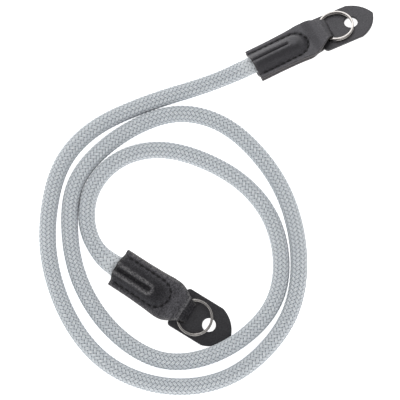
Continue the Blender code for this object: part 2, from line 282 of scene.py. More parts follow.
class Recipe:
    """A material under construction: its node tree, its shader and a way to add nodes."""

    def __init__(self, name: str) -> None:
        """Start a material with a Principled shader.

        Args:
            name: The material's name.
        """
        self.material = bpy.data.materials.new(name)
        self.material.use_nodes = True
        self.tree = self.material.node_tree
        self.shader = self.tree.nodes["Principled BSDF"]

    def add(self, kind: str, settings: dict | None = None, output: str | int = 0,
            **inputs: object) -> bpy.types.NodeSocket:
        """Add a node, set it and link it.

        Args:
            kind: The node's type, without "ShaderNode".
            settings: Its properties.
            output: The output that is wanted.
            inputs: Values or sockets by input name, or by number as _0, _1 and so on.

        Returns:
            The wanted output.
        """
        node = self.tree.nodes.new("ShaderNode" + kind)
        for key, value in (settings or {}).items():
            setattr(node, key, value)
        for key, value in inputs.items():
            socket = node.inputs[int(key[1:])] if key.startswith("_") else node.inputs[key]
            if isinstance(value, bpy.types.NodeSocket):
                self.tree.links.new(value, socket)
            else:
                socket.default_value = value
        return node.outputs[output]

    def math(self, operation: str, *values: object) -> bpy.types.NodeSocket:
        """Add a Math node: one operation on up to three values or sockets."""
        return self.add("Math", {"operation": operation},
                        **{f"_{i}": value for i, value in enumerate(values)})

    def blend(self, share: object, low: object, high: object) -> bpy.types.NodeSocket:
        """Add a colour Mix node: low where share is 0, high where it is 1."""
        return self.add("Mix", {"data_type": "RGBA"}, 2, _0=share, _6=low, _7=high)

    def ramp(self, value: object, start: float, end: float, low: float = 0.0,
             high: float = 1.0) -> bpy.types.NodeSocket:
        """Add a smooth Map Range node, from low at start to high at end."""
        return self.add("MapRange", {"interpolation_type": "SMOOTHSTEP"}, 0, _0=value, _1=start,
                        _2=end, _3=low, _4=high)

    def noise(self, spot: object, size: float, detail: float,
              **more: object) -> bpy.types.NodeSocket:
        """Add a Noise node at a place, with patches about a size in metres across."""
        return self.add("TexNoise", None, 0, Vector=spot, Scale=1.0 / size, Detail=detail, **more)

    def mark(self, name: str) -> bpy.types.NodeSocket:
        """Read one of the mesh's float attributes, which is 0 where the mesh lacks it."""
        return self.add("Attribute", {"attribute_name": name}, "Fac")

    def flat_map(self) -> tuple[bpy.types.NodeSocket, bpy.types.NodeSocket]:
        """Read both coordinates of the UV map."""
        place = self.add("UVMap", {"uv_map": UV_NAME})
        return (self.add("SeparateXYZ", None, 0, _0=place),
                self.add("SeparateXYZ", None, 1, _0=place))

    def finish(self, colour: object, roughness: object, height: object | None = None,
               **plain: object) -> bpy.types.Material:
        """Feed the shader.

        Args:
            colour: Base colour, a value or a socket.
            roughness: Roughness, a value or a socket.
            height: Height of the surface in metres, for a bump.
            plain: Other shader sockets by name, with spaces as underscores.

        Returns:
            The finished material.
        """
        wanted = {"Base Color": colour, "Roughness": roughness}
        if height is not None:
            wanted["Normal"] = self.add("Bump", None, 0, Strength=1.0, Distance=1.0, Height=height)
        wanted.update({key.replace("_", " "): value for key, value in plain.items()})
        for key, value in wanted.items():
            if isinstance(value, bpy.types.NodeSocket):
                self.tree.links.new(value, self.shader.inputs[key])
            else:
                self.shader.inputs[key].default_value = value
        return self.material


@dataclass(frozen=True)
class BraidedCord:
    """Heathered cotton-blend cord, braided two over two: matt, soft, each strand of two yarns."""

    yarn: str = "#CBD1D7"
    # The bright colour is a painted highlight on the yarns' tops; the gap colour is painted shade in
    # the braid's gaps and between the yarns.
    bright: str = "#F3F5F6"
    gap: str = "#3C444B"
    fluffed_and_lit: str = "#E3E7EA"         # lighter where the strands are crushed open at a tab's mouth, partly frayed fibre and partly light painted against the leather's shade
    yarns: int = 2
    strand_rise: float = 0.2 * MM
    yarn_rise: float = 0.1 * MM
    fibre: float = 0.16 * MM         # single fibres, drawn a few times coarser than they are
    mottle: float = 1.6 * MM         # patches of lighter and greyer yarn
    roughness: float = 0.88

    def strand(self, recipe: Recipe, across: object, along: object,
               lag: float) -> tuple[bpy.types.NodeSocket, ...]:
        """Work out one family of strands.

        A strand is a round ridge across its width, 1 - (2 across) squared, lifted by a cosine of
        period 4 along it, so that it lies over two of the others and under two. Fine arches
        across it are its yarns.

        Args:
            recipe: The material under construction.
            across: Coordinate that counts the family's strands.
            along: Coordinate that counts the strands it crosses.
            lag: Where along it the strand is on top.

        Returns:
            The height over the strand's low point, in strand rises, the yarns' arches, and the
            ridge across the strand.
        """
        number = recipe.math("FLOOR", across)
        share = recipe.math("SUBTRACT", recipe.math("FRACT", across), 0.5)
        phase = recipe.math("SUBTRACT", recipe.math("SUBTRACT", along, number), lag)
        lift = recipe.math("COSINE", recipe.math("MULTIPLY", phase, BRAID_TURN))
        square = recipe.math("MULTIPLY", share, share)
        dome = recipe.math("SUBTRACT", 1.0, recipe.math("MULTIPLY", square, 4.0))
        turns = recipe.math("MULTIPLY", across, math.pi * self.yarns)
        arch = recipe.math("ABSOLUTE", recipe.math("SINE", turns))
        height = recipe.math("MULTIPLY_ADD", lift, LIFT_SHARE,
                             recipe.math("MULTIPLY", dome, DOME_SHARE))
        return height, arch, dome

    def colour(self, recipe: Recipe, top: object, arch: object, dome: object, fibre: object,
               mottle: object) -> bpy.types.NodeSocket:
        """Mix the yarn's colour with painted shade in the gaps and between the yarns, a painted
        highlight on the yarns' tops, and lighter fluffy strands at a mouth, which are partly painted
        light.

        Args:
            recipe: The material under construction.
            top: The braid's height.
            arch: The height of a yarn in its strand.
            dome: The height of the strand across its width.
            fibre: A noise as fine as the fibres.
            mottle: A noise of patches.

        Returns:
            The colour: each layer's share blends it over the one before.
        """
        # Painted shade: the gap colour where the braid lies low.
        open_share = recipe.math("MULTIPLY", recipe.ramp(top, 0.05, 0.5),
                                 recipe.ramp(dome, 0.0, 0.45, 0.45, 1.0))
        shade = recipe.blend(open_share, linear(self.gap), linear(self.yarn))
        # Painted highlight on the yarns' tops, in mottled patches.
        lit = recipe.math("MULTIPLY", recipe.ramp(arch, 0.35, 1.0), recipe.ramp(top, 0.6, 0.95))
        lit = recipe.math("MULTIPLY", lit, recipe.ramp(mottle, 0.35, 0.65, 0.35, 1.0))
        shade = recipe.blend(lit, shade, linear(self.bright))
        # Painted shade along the lines between the yarns.
        between = recipe.math("MULTIPLY", recipe.ramp(arch, 0.0, 0.4, 0.35, 0.0),
                              recipe.ramp(top, 0.3, 0.6))
        shade = recipe.blend(between, shade, linear(self.gap))
        # Lighter strands at a mouth: partly frayed fibre, partly light painted against the leather's
        # shade.
        fluff_and_light = recipe.math("MULTIPLY", recipe.mark("crushed"),
                            recipe.ramp(top, 0.15, 0.55, 0.1, 1.0))
        shade = recipe.blend(fluff_and_light, shade, linear(self.fluffed_and_lit))
        heather = recipe.ramp(fibre, 0.3, 0.7, 0.86, 1.0)
        return recipe.add("Mix", {"data_type": "RGBA", "blend_type": "MULTIPLY"}, 2, _0=1.0,
                          _6=shade, _7=heather)

    @cache
    def material(self) -> bpy.types.Material:
        """Make the cord's material, on a UV map that counts strands along and around it.

        The height is the smooth maximum of both families of strands, plus the arches of the yarns
        of the family on top, plus a noise as fine as the fibres.
        """
        recipe = Recipe("braided_cotton_cord")
        along, around = recipe.flat_map()
        first = recipe.math("ADD", along, around)
        second = recipe.math("SUBTRACT", along, around)
        right, right_yarn, right_dome = self.strand(recipe, first, second, 0.0)
        left, left_yarn, left_dome = self.strand(recipe, second, first, BRAID_LAG)
        top = recipe.math("SMOOTH_MAX", right, left, 0.08)
        is_left = recipe.math("GREATER_THAN", left, right)
        arch, dome = (
            recipe.add("Mix", {"data_type": "FLOAT"}, 0, _0=is_left, _2=one, _3=other)
            for one, other in ((right_yarn, left_yarn), (right_dome, left_dome)))
        spot = recipe.add("TexCoord", None, "Object")
        fibre = recipe.noise(spot, self.fibre, 2.0, Roughness=0.6)
        mottle = recipe.noise(spot, self.mottle, 2.0)
        rise = recipe.math("MULTIPLY", top, self.strand_rise)
        rise = recipe.math("MULTIPLY_ADD", arch, self.yarn_rise, rise)
        rise = recipe.math("MULTIPLY_ADD", fibre, 0.5 * self.yarn_rise, rise)
        return recipe.finish(self.colour(recipe, top, arch, dome, fibre, mottle), self.roughness,
                             rise, Sheen_Weight=0.25, Sheen_Roughness=0.5, IOR=1.5,
                             Specular_IOR_Level=0.25)


@dataclass(frozen=True)
class GrainedLeather:
    """Chrome-tanned cowhide with a pebbled top coat: satin black, duller where it is stretched."""

    name: str
    ground: str = "#100F12"
    worn: str = "#3B3A3D"
    rubbed: str = "#737271"          # the coat thins on edges and ridges, and a highlight is painted on them
    creased: str = "#0C0C0E"         # painted shade in the fold, the groove and over the rope
    cut: str = "#37322D"             # the burnished cut edge shows some undyed fibres
    pebble: float = 0.85 * MM
    clump: float = 0.75 * MM         # where the coat is worn through on the pebbles' tops
    speck: float = 0.75 * MM         # where the coat is thin, it is thin in specks
    pore: float = 0.28 * MM
    pebble_rise: float = 0.13 * MM
    patch: float = 7.0 * MM          # some areas of the hide have taken more wear
    wrinkle: float = 0.9 * MM        # between the fine wrinkles on a stretched slope
    wrinkle_rise: float = 0.05 * MM
    wrinkle_slant: float = 0.8
    wrinkle_break: float = 5.0       # how much the pores bend the lines
    roughness: float = 0.48
    shine: float = 0.75              # the specular level of the open coat
    shaded_shine: float = 0.3        # and in the painted crease shade
    folded: bool = True              # a flat piece has no creases

    def wrinkles(self, recipe: Recipe, stretch: object, pores: object) -> bpy.types.NodeSocket:
        """Work out the fine slanting wrinkles on the slopes between the flat and the ridge.

        Args:
            recipe: The material under construction.
            stretch: How far the leather is pulled up, from 0 to 1.
            pores: A fine noise that breaks the lines up.

        Returns:
            A sine of the distance along a slanting line, from 0 to 1, masked to the slopes.
        """
        along, across = recipe.flat_map()
        slant = recipe.math("MULTIPLY_ADD", recipe.math("ABSOLUTE", across), self.wrinkle_slant,
                            along)
        turns = recipe.math("MULTIPLY", slant, 2.0 * math.pi * MM / self.wrinkle)
        phase = recipe.math("MULTIPLY_ADD", pores, self.wrinkle_break, turns)
        wave = recipe.ramp(recipe.math("SINE", phase), -0.4, 1.0)
        slope = recipe.math("MULTIPLY", recipe.ramp(stretch, 0.1, 0.35),
                            recipe.ramp(stretch, 0.6, 0.85, 1.0, 0.0))
        return recipe.math("MULTIPLY", wave, slope)

    def colour(self, recipe: Recipe, spot: object, grain: object, calm: object,
               crease: object) -> bpy.types.NodeSocket:
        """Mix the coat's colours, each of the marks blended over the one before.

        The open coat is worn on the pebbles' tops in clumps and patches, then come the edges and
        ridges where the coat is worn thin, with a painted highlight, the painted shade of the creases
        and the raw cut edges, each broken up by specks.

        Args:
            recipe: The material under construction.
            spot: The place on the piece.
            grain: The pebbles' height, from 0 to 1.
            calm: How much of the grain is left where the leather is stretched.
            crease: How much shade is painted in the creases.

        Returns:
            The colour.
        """
        patches = recipe.noise(spot, self.patch, 2.0)
        clumps = recipe.noise(spot, self.clump, 2.0)
        speck = recipe.noise(spot, self.speck, 5.0, Roughness=0.62)
        worn = recipe.math("MULTIPLY_ADD", recipe.ramp(clumps, 0.42, 0.6), 0.65,
                           recipe.ramp(grain, 0.45, 0.8, 0.0, 0.35))
        worn = recipe.math("MULTIPLY", worn, recipe.ramp(patches, 0.3, 0.7, 0.78, 1.0))
        worn = recipe.math("MULTIPLY", worn, calm)
        shade = recipe.blend(worn, linear(self.ground), linear(self.worn))
        # Over the worn coat: real wear with a painted highlight on edges and ridges, painted shade in
        # the creases, and the raw cut edges.
        for mark, specks, colour in (
                (recipe.mark("rubbed"), (0.4, 0.66, 0.05, 1.0), self.rubbed),
                (crease, (0.35, 0.6, 0.9, 0.6), self.creased),
                (recipe.mark("cut_edge"), (0.42, 0.62, 0.2, 1.0), self.cut)):
            share = recipe.math("MULTIPLY", mark, recipe.ramp(speck, *specks))
            shade = recipe.blend(share, shade, linear(colour))
        return shade

    @cache
    def material(self) -> bpy.types.Material:
        """Make the leather's material, with marks for its wear and for its stretched places.

        The height is that of the pebbles, calmer where the leather is stretched, plus the pores
        and the wrinkles.
        """
        recipe = Recipe(self.name)
        spot = recipe.add("TexCoord", None, "Object")
        stretch, crease = recipe.mark("stretched"), recipe.mark("creased")
        pebbles = recipe.add("TexVoronoi", {"feature": "SMOOTH_F1"}, "Distance", Vector=spot,
                             Scale=1.0 / self.pebble, Smoothness=0.6)
        grain = recipe.math("SUBTRACT", 1.0, pebbles)
        pores = recipe.noise(spot, self.pore, 3.0)
        calm = recipe.ramp(stretch, 0.1, 0.9, 1.0, 0.6)
        rise = recipe.math("MULTIPLY", recipe.math("MULTIPLY", grain, calm), self.pebble_rise)
        rise = recipe.math("MULTIPLY_ADD", pores, 0.35 * self.pebble_rise, rise)
        rise = recipe.math("MULTIPLY_ADD", self.wrinkles(recipe, stretch, pores),
                           self.wrinkle_rise, rise)
        gloss = recipe.ramp(pores, 0.3, 0.7, self.roughness - 0.06, self.roughness + 0.08)
        gloss = recipe.math("MULTIPLY_ADD", crease, 0.3, gloss)
        shine = self.shine
        if self.folded:
            # Where the link is dropped, the socket itself holds the open coat's level.
            recipe.shader.inputs["Specular IOR Level"].default_value = self.shine
            shine = recipe.ramp(crease, 0.0, 1.0, self.shine, self.shaded_shine)
        return recipe.finish(self.colour(recipe, spot, grain, calm, crease), gloss, rise, IOR=1.5,
                             Specular_IOR_Level=shine, Specular_Tint=(0.95, 0.93, 1.0, 1.0))


@dataclass(frozen=True)
class NickelledSteel:
    """Spring-steel wire, rolled, coiled and nickel plated: a warm bright metal, faintly scuffed."""

    plate: str = "#B7B3B0"
    scuff: float = 0.2 * MM
    roughness: float = 0.25

    @cache
    def material(self) -> bpy.types.Material:
        """Make the plating's material, scuffed in fine patches."""
        recipe = Recipe("nickel_plated_spring_steel")
        spot = recipe.add("TexCoord", None, "Object")
        scuffs = recipe.noise(spot, self.scuff, 3.0)
        gloss = recipe.ramp(scuffs, 0.35, 0.7, self.roughness - 0.02, self.roughness + 0.03)
        return recipe.finish(linear(self.plate), gloss, Metallic=1.0)


@dataclass(frozen=True)
class WaxedThread:
    """Waxed polyester thread, twisted from three plies: black with a faint wax shine."""

    dye: str = "#19191A"
    # The colour between the plies is painted shade.
    shade_between_plies: str = "#0E0E0F"
    twist_rise: float = 0.05 * MM
    roughness: float = 0.45

    @cache
    def material(self) -> bpy.types.Material:
        """Make the thread's material, with the twist drawn along its UV map as a bump and as painted
        shade between the plies.
        """
        recipe = Recipe("waxed_polyester_thread")
        place = recipe.add("UVMap", {"uv_map": UV_NAME})
        twist = recipe.add("TexWave", {"bands_direction": "DIAGONAL"}, 1, Vector=place, Scale=1.0)
        rise = recipe.math("MULTIPLY", twist, self.twist_rise)
        shade = recipe.blend(twist, linear(self.shade_between_plies), linear(self.dye))
        return recipe.finish(shade, self.roughness, rise, IOR=1.5)


@dataclass(frozen=True)
class LightTableFilm:
    """Matt white background film, lit softly from below as on a light table."""

    white: str = "#F2F2F2"
    glow: float = 0.85
    tooth: float = 0.6 * MM
    tooth_rise: float = 0.01 * MM
    roughness: float = 0.95

    @cache
    def material(self) -> bpy.types.Material:
        """Make the film's material, a nearly even matt white with a faint tooth."""
        recipe = Recipe("white_light_table_film")
        spot = recipe.add("TexCoord", None, "Object")
        tooth = recipe.noise(spot, self.tooth, 2.0)
        rise = recipe.math("MULTIPLY", tooth, self.tooth_rise)
        return recipe.finish(linear(self.white), self.roughness, rise, Specular_IOR_Level=0.1,
                             Emission_Color=(1.0, 1.0, 1.0, 1.0), Emission_Strength=self.glow)


# ---------------------------------------------------------------- how the ends lie

class End(Enum):
    """The strap's two ends."""

    OUTER = "a"
    INNER = "b"


@dataclass(frozen=True)
class EndPose:
    """How one end lies, in millimetres and degrees, and how its leather has worn.

    Its frame has the tab's mouth at the origin, +X to the fold, +Y to the left, +Z off its face.
    The neck turns the loop against the sewn part. The ring and the pad are held in the loop.
    """

    end: End
    mouth: tuple[float, float, float]
    heading: float
    nose_up: float
    roll: float
    neck_nose_up: float
    neck_roll: float
    neck_turn: float
    pad_nose_up: float               # the pad and the ring tilt against the neck
    pad_turn: float
    pad_from_mouth: float
    pad_under: float                 # how much further than its bridge the pad reaches under
    slot_press: float                # how far the fold presses into the slot's far edge
    ring_nose_up: float
    ring_from_mouth: float
    ring_left: float
    ring_height: float               # the ring's middle over the tab's middle plane
    turn_slip: float                 # how far the ring's upper turn lies off the lower one
    slip_at: float                   # and in which direction
    rope_half: tuple[float, float]   # half width and half height of the rope at the mouth
    rope_left: float                 # how far its braid is squeezed to the left there
    mouth_over: float                # how far the leather's cut edge lies past the mouth
    mouth_slant: float               # how much further on the left than in the middle
    mouth_bow: float                 # and how much further over the rope
    fold_reach: float                # from the fold's crest to its far side
    fold_slant: float                # how much further it reaches, by distance to the left
    fold_crease: float               # power of the fold's sine: 1 is round, 2 has a sharp crest
    groove_half_width: float
    groove_depth: float
    rub: float                       # share of the coat that is worn off edges and ridges, and of the highlight painted there
    fold_shade: float               # how much shade is painted in the fold
    ridge_shade: float              # and over the rope
    neck_start: float = 24.0 * MM
    neck_end: float = 40.0 * MM

    def frame(self) -> Matrix:
        """Give the end's frame in the row frame."""
        turn = Euler([math.radians(a) for a in (self.roll, -self.nose_up, self.heading)], "XYZ")
        return Matrix.Translation([c * MM for c in self.mouth]) @ turn.to_matrix().to_4x4()

    def bend(self, points: Array) -> Array:
        """Tilt, twist and turn the neck of points given for a straight tab.

        Each angle grows along the tab by a smooth step between the neck's start and its end, and
        the middle line rises and drifts by the area under that step.

        Args:
            points: Points of the straight tab in the end's frame.

        Returns:
            The points of the bent tab, in the same frame.
        """
        along, across, up = points[..., 0], points[..., 1], points[..., 2]
        share = smooth_step(along, self.neck_start, self.neck_end)
        area = smooth_step_area(along, self.neck_start, self.neck_end)
        roll = math.radians(self.neck_roll) * share
        tilt = math.radians(self.neck_nose_up) * share
        turn = math.radians(self.neck_turn) * share
        rolled_across = across * np.cos(roll) - up * np.sin(roll)
        rolled_up = across * np.sin(roll) + up * np.cos(roll)
        back = rolled_across * np.sin(turn) + rolled_up * np.sin(tilt)
        lift = math.tan(math.radians(self.neck_nose_up)) * area
        drift = math.tan(math.radians(self.neck_turn)) * area
        return np.stack((along - back, drift + rolled_across * np.cos(turn),
                         lift + rolled_up * np.cos(tilt)), axis=-1)

    def held(self, along: float, left: float, height: float, nose_up: float,
             turn: float = 0.0) -> Matrix:
        """Give the row-frame matrix of a piece that the loop holds.

        Args:
            along: Its distance from the mouth, in metres.
            left: How far it lies to the left, in metres.
            height: Its height over the tab's middle plane, in metres.
            nose_up: How its outer end is lifted against the neck, in degrees.
            turn: How it is turned to the left in the loop, in degrees.

        Returns:
            The matrix.
        """
        area = float(smooth_step_area(along, self.neck_start, self.neck_end))
        angles = [math.radians(a) for a in (self.neck_roll, -self.neck_nose_up, self.neck_turn)]
        start = Matrix.Translation((along, math.tan(angles[2]) * area, -math.tan(angles[1]) * area))
        own = Euler((0.0, math.radians(-nose_up), math.radians(turn)), "XYZ")
        return (self.frame() @ start @ Euler(angles, "XYZ").to_matrix().to_4x4()
                @ Matrix.Translation((0.0, left, height)) @ own.to_matrix().to_4x4())


POSES = (
    EndPose(End.OUTER, (6.94, 61.5, 6.2), heading=26.2, nose_up=2.8, roll=-24.0,
            neck_nose_up=-3.0, neck_roll=4.0, neck_turn=3.2,
            pad_nose_up=-3.6, pad_turn=-2.2, pad_from_mouth=40.8, pad_under=1.3, slot_press=0.12,
            ring_nose_up=-3.6, ring_from_mouth=51.7, ring_left=0.1, ring_height=-0.05,
            turn_slip=0.3, slip_at=70.0,
            rope_half=(5.5, 3.8), rope_left=1.5, mouth_over=0.5, mouth_slant=0.3, mouth_bow=0.0,
            fold_reach=3.4, fold_slant=0.12, fold_crease=1.1,
            groove_half_width=0.75, groove_depth=1.1, rub=0.25, fold_shade=0.15, ridge_shade=0.0),
    EndPose(End.INNER, (-68.85, -54.82, 6.14), heading=-33.7, nose_up=0.2, roll=22.0,
            neck_nose_up=-4.0, neck_roll=-17.0, neck_turn=0.0,
            pad_nose_up=-2.2, pad_turn=1.0, pad_from_mouth=39.5, pad_under=0.6, slot_press=0.8,
            ring_nose_up=-2.2, ring_from_mouth=50.5, ring_left=-0.6, ring_height=0.0,
            turn_slip=0.5, slip_at=-30.0,
            rope_half=(5.9, 3.8), rope_left=-0.3, mouth_over=0.5, mouth_slant=0.2, mouth_bow=0.8,
            fold_reach=4.3, fold_slant=0.0, fold_crease=2.0,
            groove_half_width=1.6, groove_depth=1.5, rub=1.0, fold_shade=0.9, ridge_shade=0.85),
)


# ---------------------------------------------------------------- rope

# The rope's route on the surface, from the outer end to the inner one: x and y in millimetres.
ROUTE = (
    (-16.5, 51.9), (-39.5, 44.9), (-62.5, 36.4), (-84.5, 24.4), (-100.5, 5.9),
    (-107.5, -17.6), (-108.5, -42.1), (-103.5, -66.1), (-93.0, -88.6), (-77.0, -107.1),
    (-55.0, -118.6), (-30.5, -121.6), (-7.0, -115.6), (12.5, -100.6), (26.0, -80.1),
    (31.0, -56.1), (29.0, -31.6), (21.0, -8.1), (7.0, 12.4), (-11.5, 27.9),
    (-35.5, 33.9), (-59.0, 26.9), (-79.0, 12.9), (-93.5, -7.1), (-96.5, -31.6),
    (-92.5, -56.1), (-82.0, -78.1), (-65.0, -96.6), (-43.5, -107.1), (-19.0, -104.6),
    (2.5, -92.1), (17.5, -72.6), (21.0, -48.6), (14.5, -24.6), (-1.0, -5.6),
    (-22.0, 6.9), (-46.0, 12.9), (-69.5, 6.9), (-85.0, -12.1), (-85.0, -36.1),
)


@dataclass
class LooseFibres:
    """Short yarn ends that stand out of the crushed braid along a tab's mouth."""

    pose: EndPose
    finish: BraidedCord
    count: int = 34
    radius: float = 0.09 * MM        # drawn twice as thick as they are, so that they show
    rings: int = 6
    sides: int = 5
    rooted: float = 0.05 * MM        # they start this deep in the rope
    seed: int = 11
    spread: float = 0.62 * math.pi   # to either side of the rope's top
    # The least and the most of each, in millimetres.
    set_back: tuple[float, float] = (-1.0, 0.5)
    length: tuple[float, float] = (0.7, 1.9)
    height: tuple[float, float] = (0.2, 0.9)
    sway: tuple[float, float] = (-0.5, 0.5)
    bow_share: float = 0.6           # how much of the cut edge's bow their row follows

    def build(self) -> bpy.types.Object:
        """Build the fibres: thin tapered tubes on parabolas that leave the rope and bend outwards.

        Each starts on the ellipse of the rope's section near the mouth, at a random angle, and
        runs along the rope by its length times the share, and off it by its height times the
        share squared. Its radius goes with the root of 1 minus the share to the fourth, down to a
        tenth at its tip.

        Returns:
            The fibres' object.
        """
        draw = np.random.default_rng(self.seed)
        share = np.linspace(0.0, 1.0, self.rings)[None, :]
        angle = draw.uniform(-self.spread, self.spread, self.count)[:, None]
        start, length, height, sway = (
            draw.uniform(least, most, self.count)[:, None] * MM
            for least, most in (self.set_back, self.length, self.height, self.sway))
        half_width, half_height = (half * MM for half in self.pose.rope_half)
        lift = height * share ** 2 - self.rooted
        past_edge = (self.pose.mouth_over + self.bow_share * self.pose.mouth_bow) * MM
        along = -past_edge - start - length * share
        across = ((half_width + lift) * np.sin(angle) + self.pose.rope_left * MM
                  + sway * share * np.cos(angle))
        up = (half_height + lift) * np.cos(angle) - sway * share * np.sin(angle)
        middle = np.stack((along, across, up), axis=-1)
        thick = self.radius * np.sqrt(np.maximum(1.0 - share ** 4, 0.01))
        turn = 2.0 * math.pi * np.arange(self.sides) / self.sides
        aside = np.stack((np.zeros_like(angle), np.cos(angle), -np.sin(angle)), axis=-1)
        away = np.stack((np.zeros_like(angle), np.sin(angle), np.cos(angle)), axis=-1)
        tube = (middle[:, :, None, :]
                + thick[..., None, None] * (aside[:, :, None, :] * np.cos(turn)[:, None]
                                            + away[:, :, None, :] * np.sin(turn)[:, None]))
        points = carried(self.pose.frame(), tube)
        points[..., 2] = np.maximum(points[..., 2], 0.0)
        quads, caps = tube_faces(self.count, self.rings, self.sides)
        flat = np.zeros((quads.size + caps.size, 2))
        # The fibres take the strands' lighter mouth colour, which is partly painted light.
        marks = {"crushed": np.ones(points.size // 3)}
        fibres = new_mesh_object("rope_fibres_" + self.pose.end.value, points,
                                 quads.tolist() + caps.tolist(), self.finish.material(), flat, marks)
        place_piece(fibres, "strap")
        return fibres


@dataclass
class Rope:
    """The braided rope: a tube whose surface is the braid, squeezed flat in the tabs' mouths."""

    diameter: float = 9.4 * MM
    in_tab: float = 26.0 * MM
    taper: float = 4.0 * MM
    straight_out: float = 6.0 * MM
    strands: int = 12                # in each direction
    steps_a_strand: int = 4
    relief: float = 0.5 * MM         # from the gaps to the top of a strand
    sewn_half: tuple[float, float] = (4.4 * MM, 2.5 * MM)
    round_again: float = 20.0 * MM   # from a mouth to where the section is round
    straight_again: float = 45.0 * MM  # and to where the braid is back on its path
    pinch_depth: float = 1.6 * MM    # the seam down its middle leaves a groove in the rope
    pinch_width: float = 1.6 * MM
    pinch_full: float = -2.0 * MM    # from the mouth to where it is full, and to where it ends
    pinch_reach: float = 6.0 * MM
    crushed: float = 0.75            # how crushed and fluffy the strands look at a mouth, and how much lighter they are painted there, partly against the leather's shade
    crushed_reach: float = 13.0 * MM  # and how far from it they do
    braid_middle: float = 0.75       # the braid height that lies on the rope's own radius
    finish: BraidedCord = field(default_factory=BraidedCord)

    def pitch(self) -> float:
        """Give the distance between strands along the rope, the same as around it."""
        return math.pi * self.diameter / self.strands

    def path(self) -> Array:
        """Run a smooth line from deep in one tab along the route to deep in the other."""
        places = (self.in_tab, self.taper, 0.0, -self.straight_out)
        ends = [carried(pose.frame(), np.array([(x, 0.0, 0.0) for x in places])) for pose in POSES]
        route = np.array([(x * MM, y * MM, 0.5 * self.diameter) for x, y in ROUTE])
        line = natural_spline(np.concatenate((ends[0], route, ends[1][::-1])),
                              self.pitch() / self.steps_a_strand)
        line[:, 2] = np.maximum(line[:, 2], 0.5 * self.diameter)
        return line

    def braid_height(self, along: Array, around: Array) -> Array:
        """Give the braid's height, from about 0 in its gaps to 1 on its strands.

        Both families of strands are round ridges, 1 - (2 share) squared across, lifted by a cosine
        of period 4 along, and the higher of the two shows.

        Args:
            along: Position along the rope, counted in strands.
            around: Position around the rope, counted in strands.

        Returns:
            The height at each place.
        """
        heights = []
        for across, run, lag in ((along + around, along - around, 0.0),
                                 (along - around, along + around, BRAID_LAG)):
            number = np.floor(across + 1e-6)
            share = across - number - 0.5
            lift = np.cos(BRAID_TURN * (run - number - lag))
            heights.append(LIFT_SHARE * lift + DOME_SHARE * (1.0 - 4.0 * share ** 2))
        return np.maximum(heights[0], heights[1])

    @staticmethod
    def directions(line: Array, free: Array, first: Array) -> tuple[Array, Array]:
        """Give the side and the up direction of each ring.

        Both are square to the path. The side is level in the open, and both roll about the path
        by the tab's own roll at a mouth.

        Args:
            line: The path, one point a ring.
            free: 0 at a mouth and inside its tab, 1 where the rope is round again.
            first: Whether each ring lies in the outer end's half of the rope.

        Returns:
            Unit vectors to the side and up.
        """
        ahead = np.gradient(line, axis=0)
        ahead /= np.linalg.norm(ahead, axis=1)[:, None]
        side = np.stack((ahead[:, 1], -ahead[:, 0], np.zeros(len(line))), axis=1)
        side /= np.linalg.norm(side, axis=1)[:, None]
        up = np.cross(side, ahead)
        roll = np.radians(np.where(first, POSES[0].roll, -POSES[1].roll)) * (1.0 - free)
        cosine, sine = np.cos(roll)[:, None], np.sin(roll)[:, None]
        return side * cosine + up * sine, up * cosine - side * sine

    def half_sizes(self, free: Array, sewn: Array, first: Array) -> tuple[Array, ...]:
        """Give the half width and the half height of each ring.

        Both go smoothly from the rope's radius to the mouth's size and on to the sewn size.

        Args:
            free: 0 at a mouth and inside its tab, 1 where the rope is round again.
            sewn: 0 outside the tab, 1 where the seam holds the rope.
            first: Whether each ring lies in the outer end's half of the rope.

        Returns:
            The half widths and the half heights.
        """
        radius = 0.5 * self.diameter
        return tuple(
            (radius * free + np.where(first, outer, inner) * MM * (1.0 - free)) * (1.0 - sewn)
            + deep * sewn
            for outer, inner, deep in zip(POSES[0].rope_half, POSES[1].rope_half, self.sewn_half))

    def braid_map(self, quads: Array, along: Array, around: Array) -> Array:
        """Give the UV pairs of the tube's faces and its two caps.

        The map counts strands along and around the rope. The last column of quads reaches on to
        the full count, and the caps stay at 0.

        Args:
            quads: The tube's quads.
            along: Position of each ring, counted in strands.
            around: Position of each vertex in a ring, counted in strands.

        Returns:
            A UV pair for each face corner.
        """
        rows, columns = along.shape[0], around.shape[1]
        every_along = np.repeat(along, columns, axis=1).ravel()
        every_around = np.tile(around.ravel(), rows)
        uv = np.stack((every_along[quads], every_around[quads]), axis=-1)
        last_column = (quads[:, 0] % columns) == columns - 1
        uv[last_column, 2:, 1] = self.strands
        return np.concatenate((uv.reshape(-1, 2), np.zeros((2 * columns, 2))))

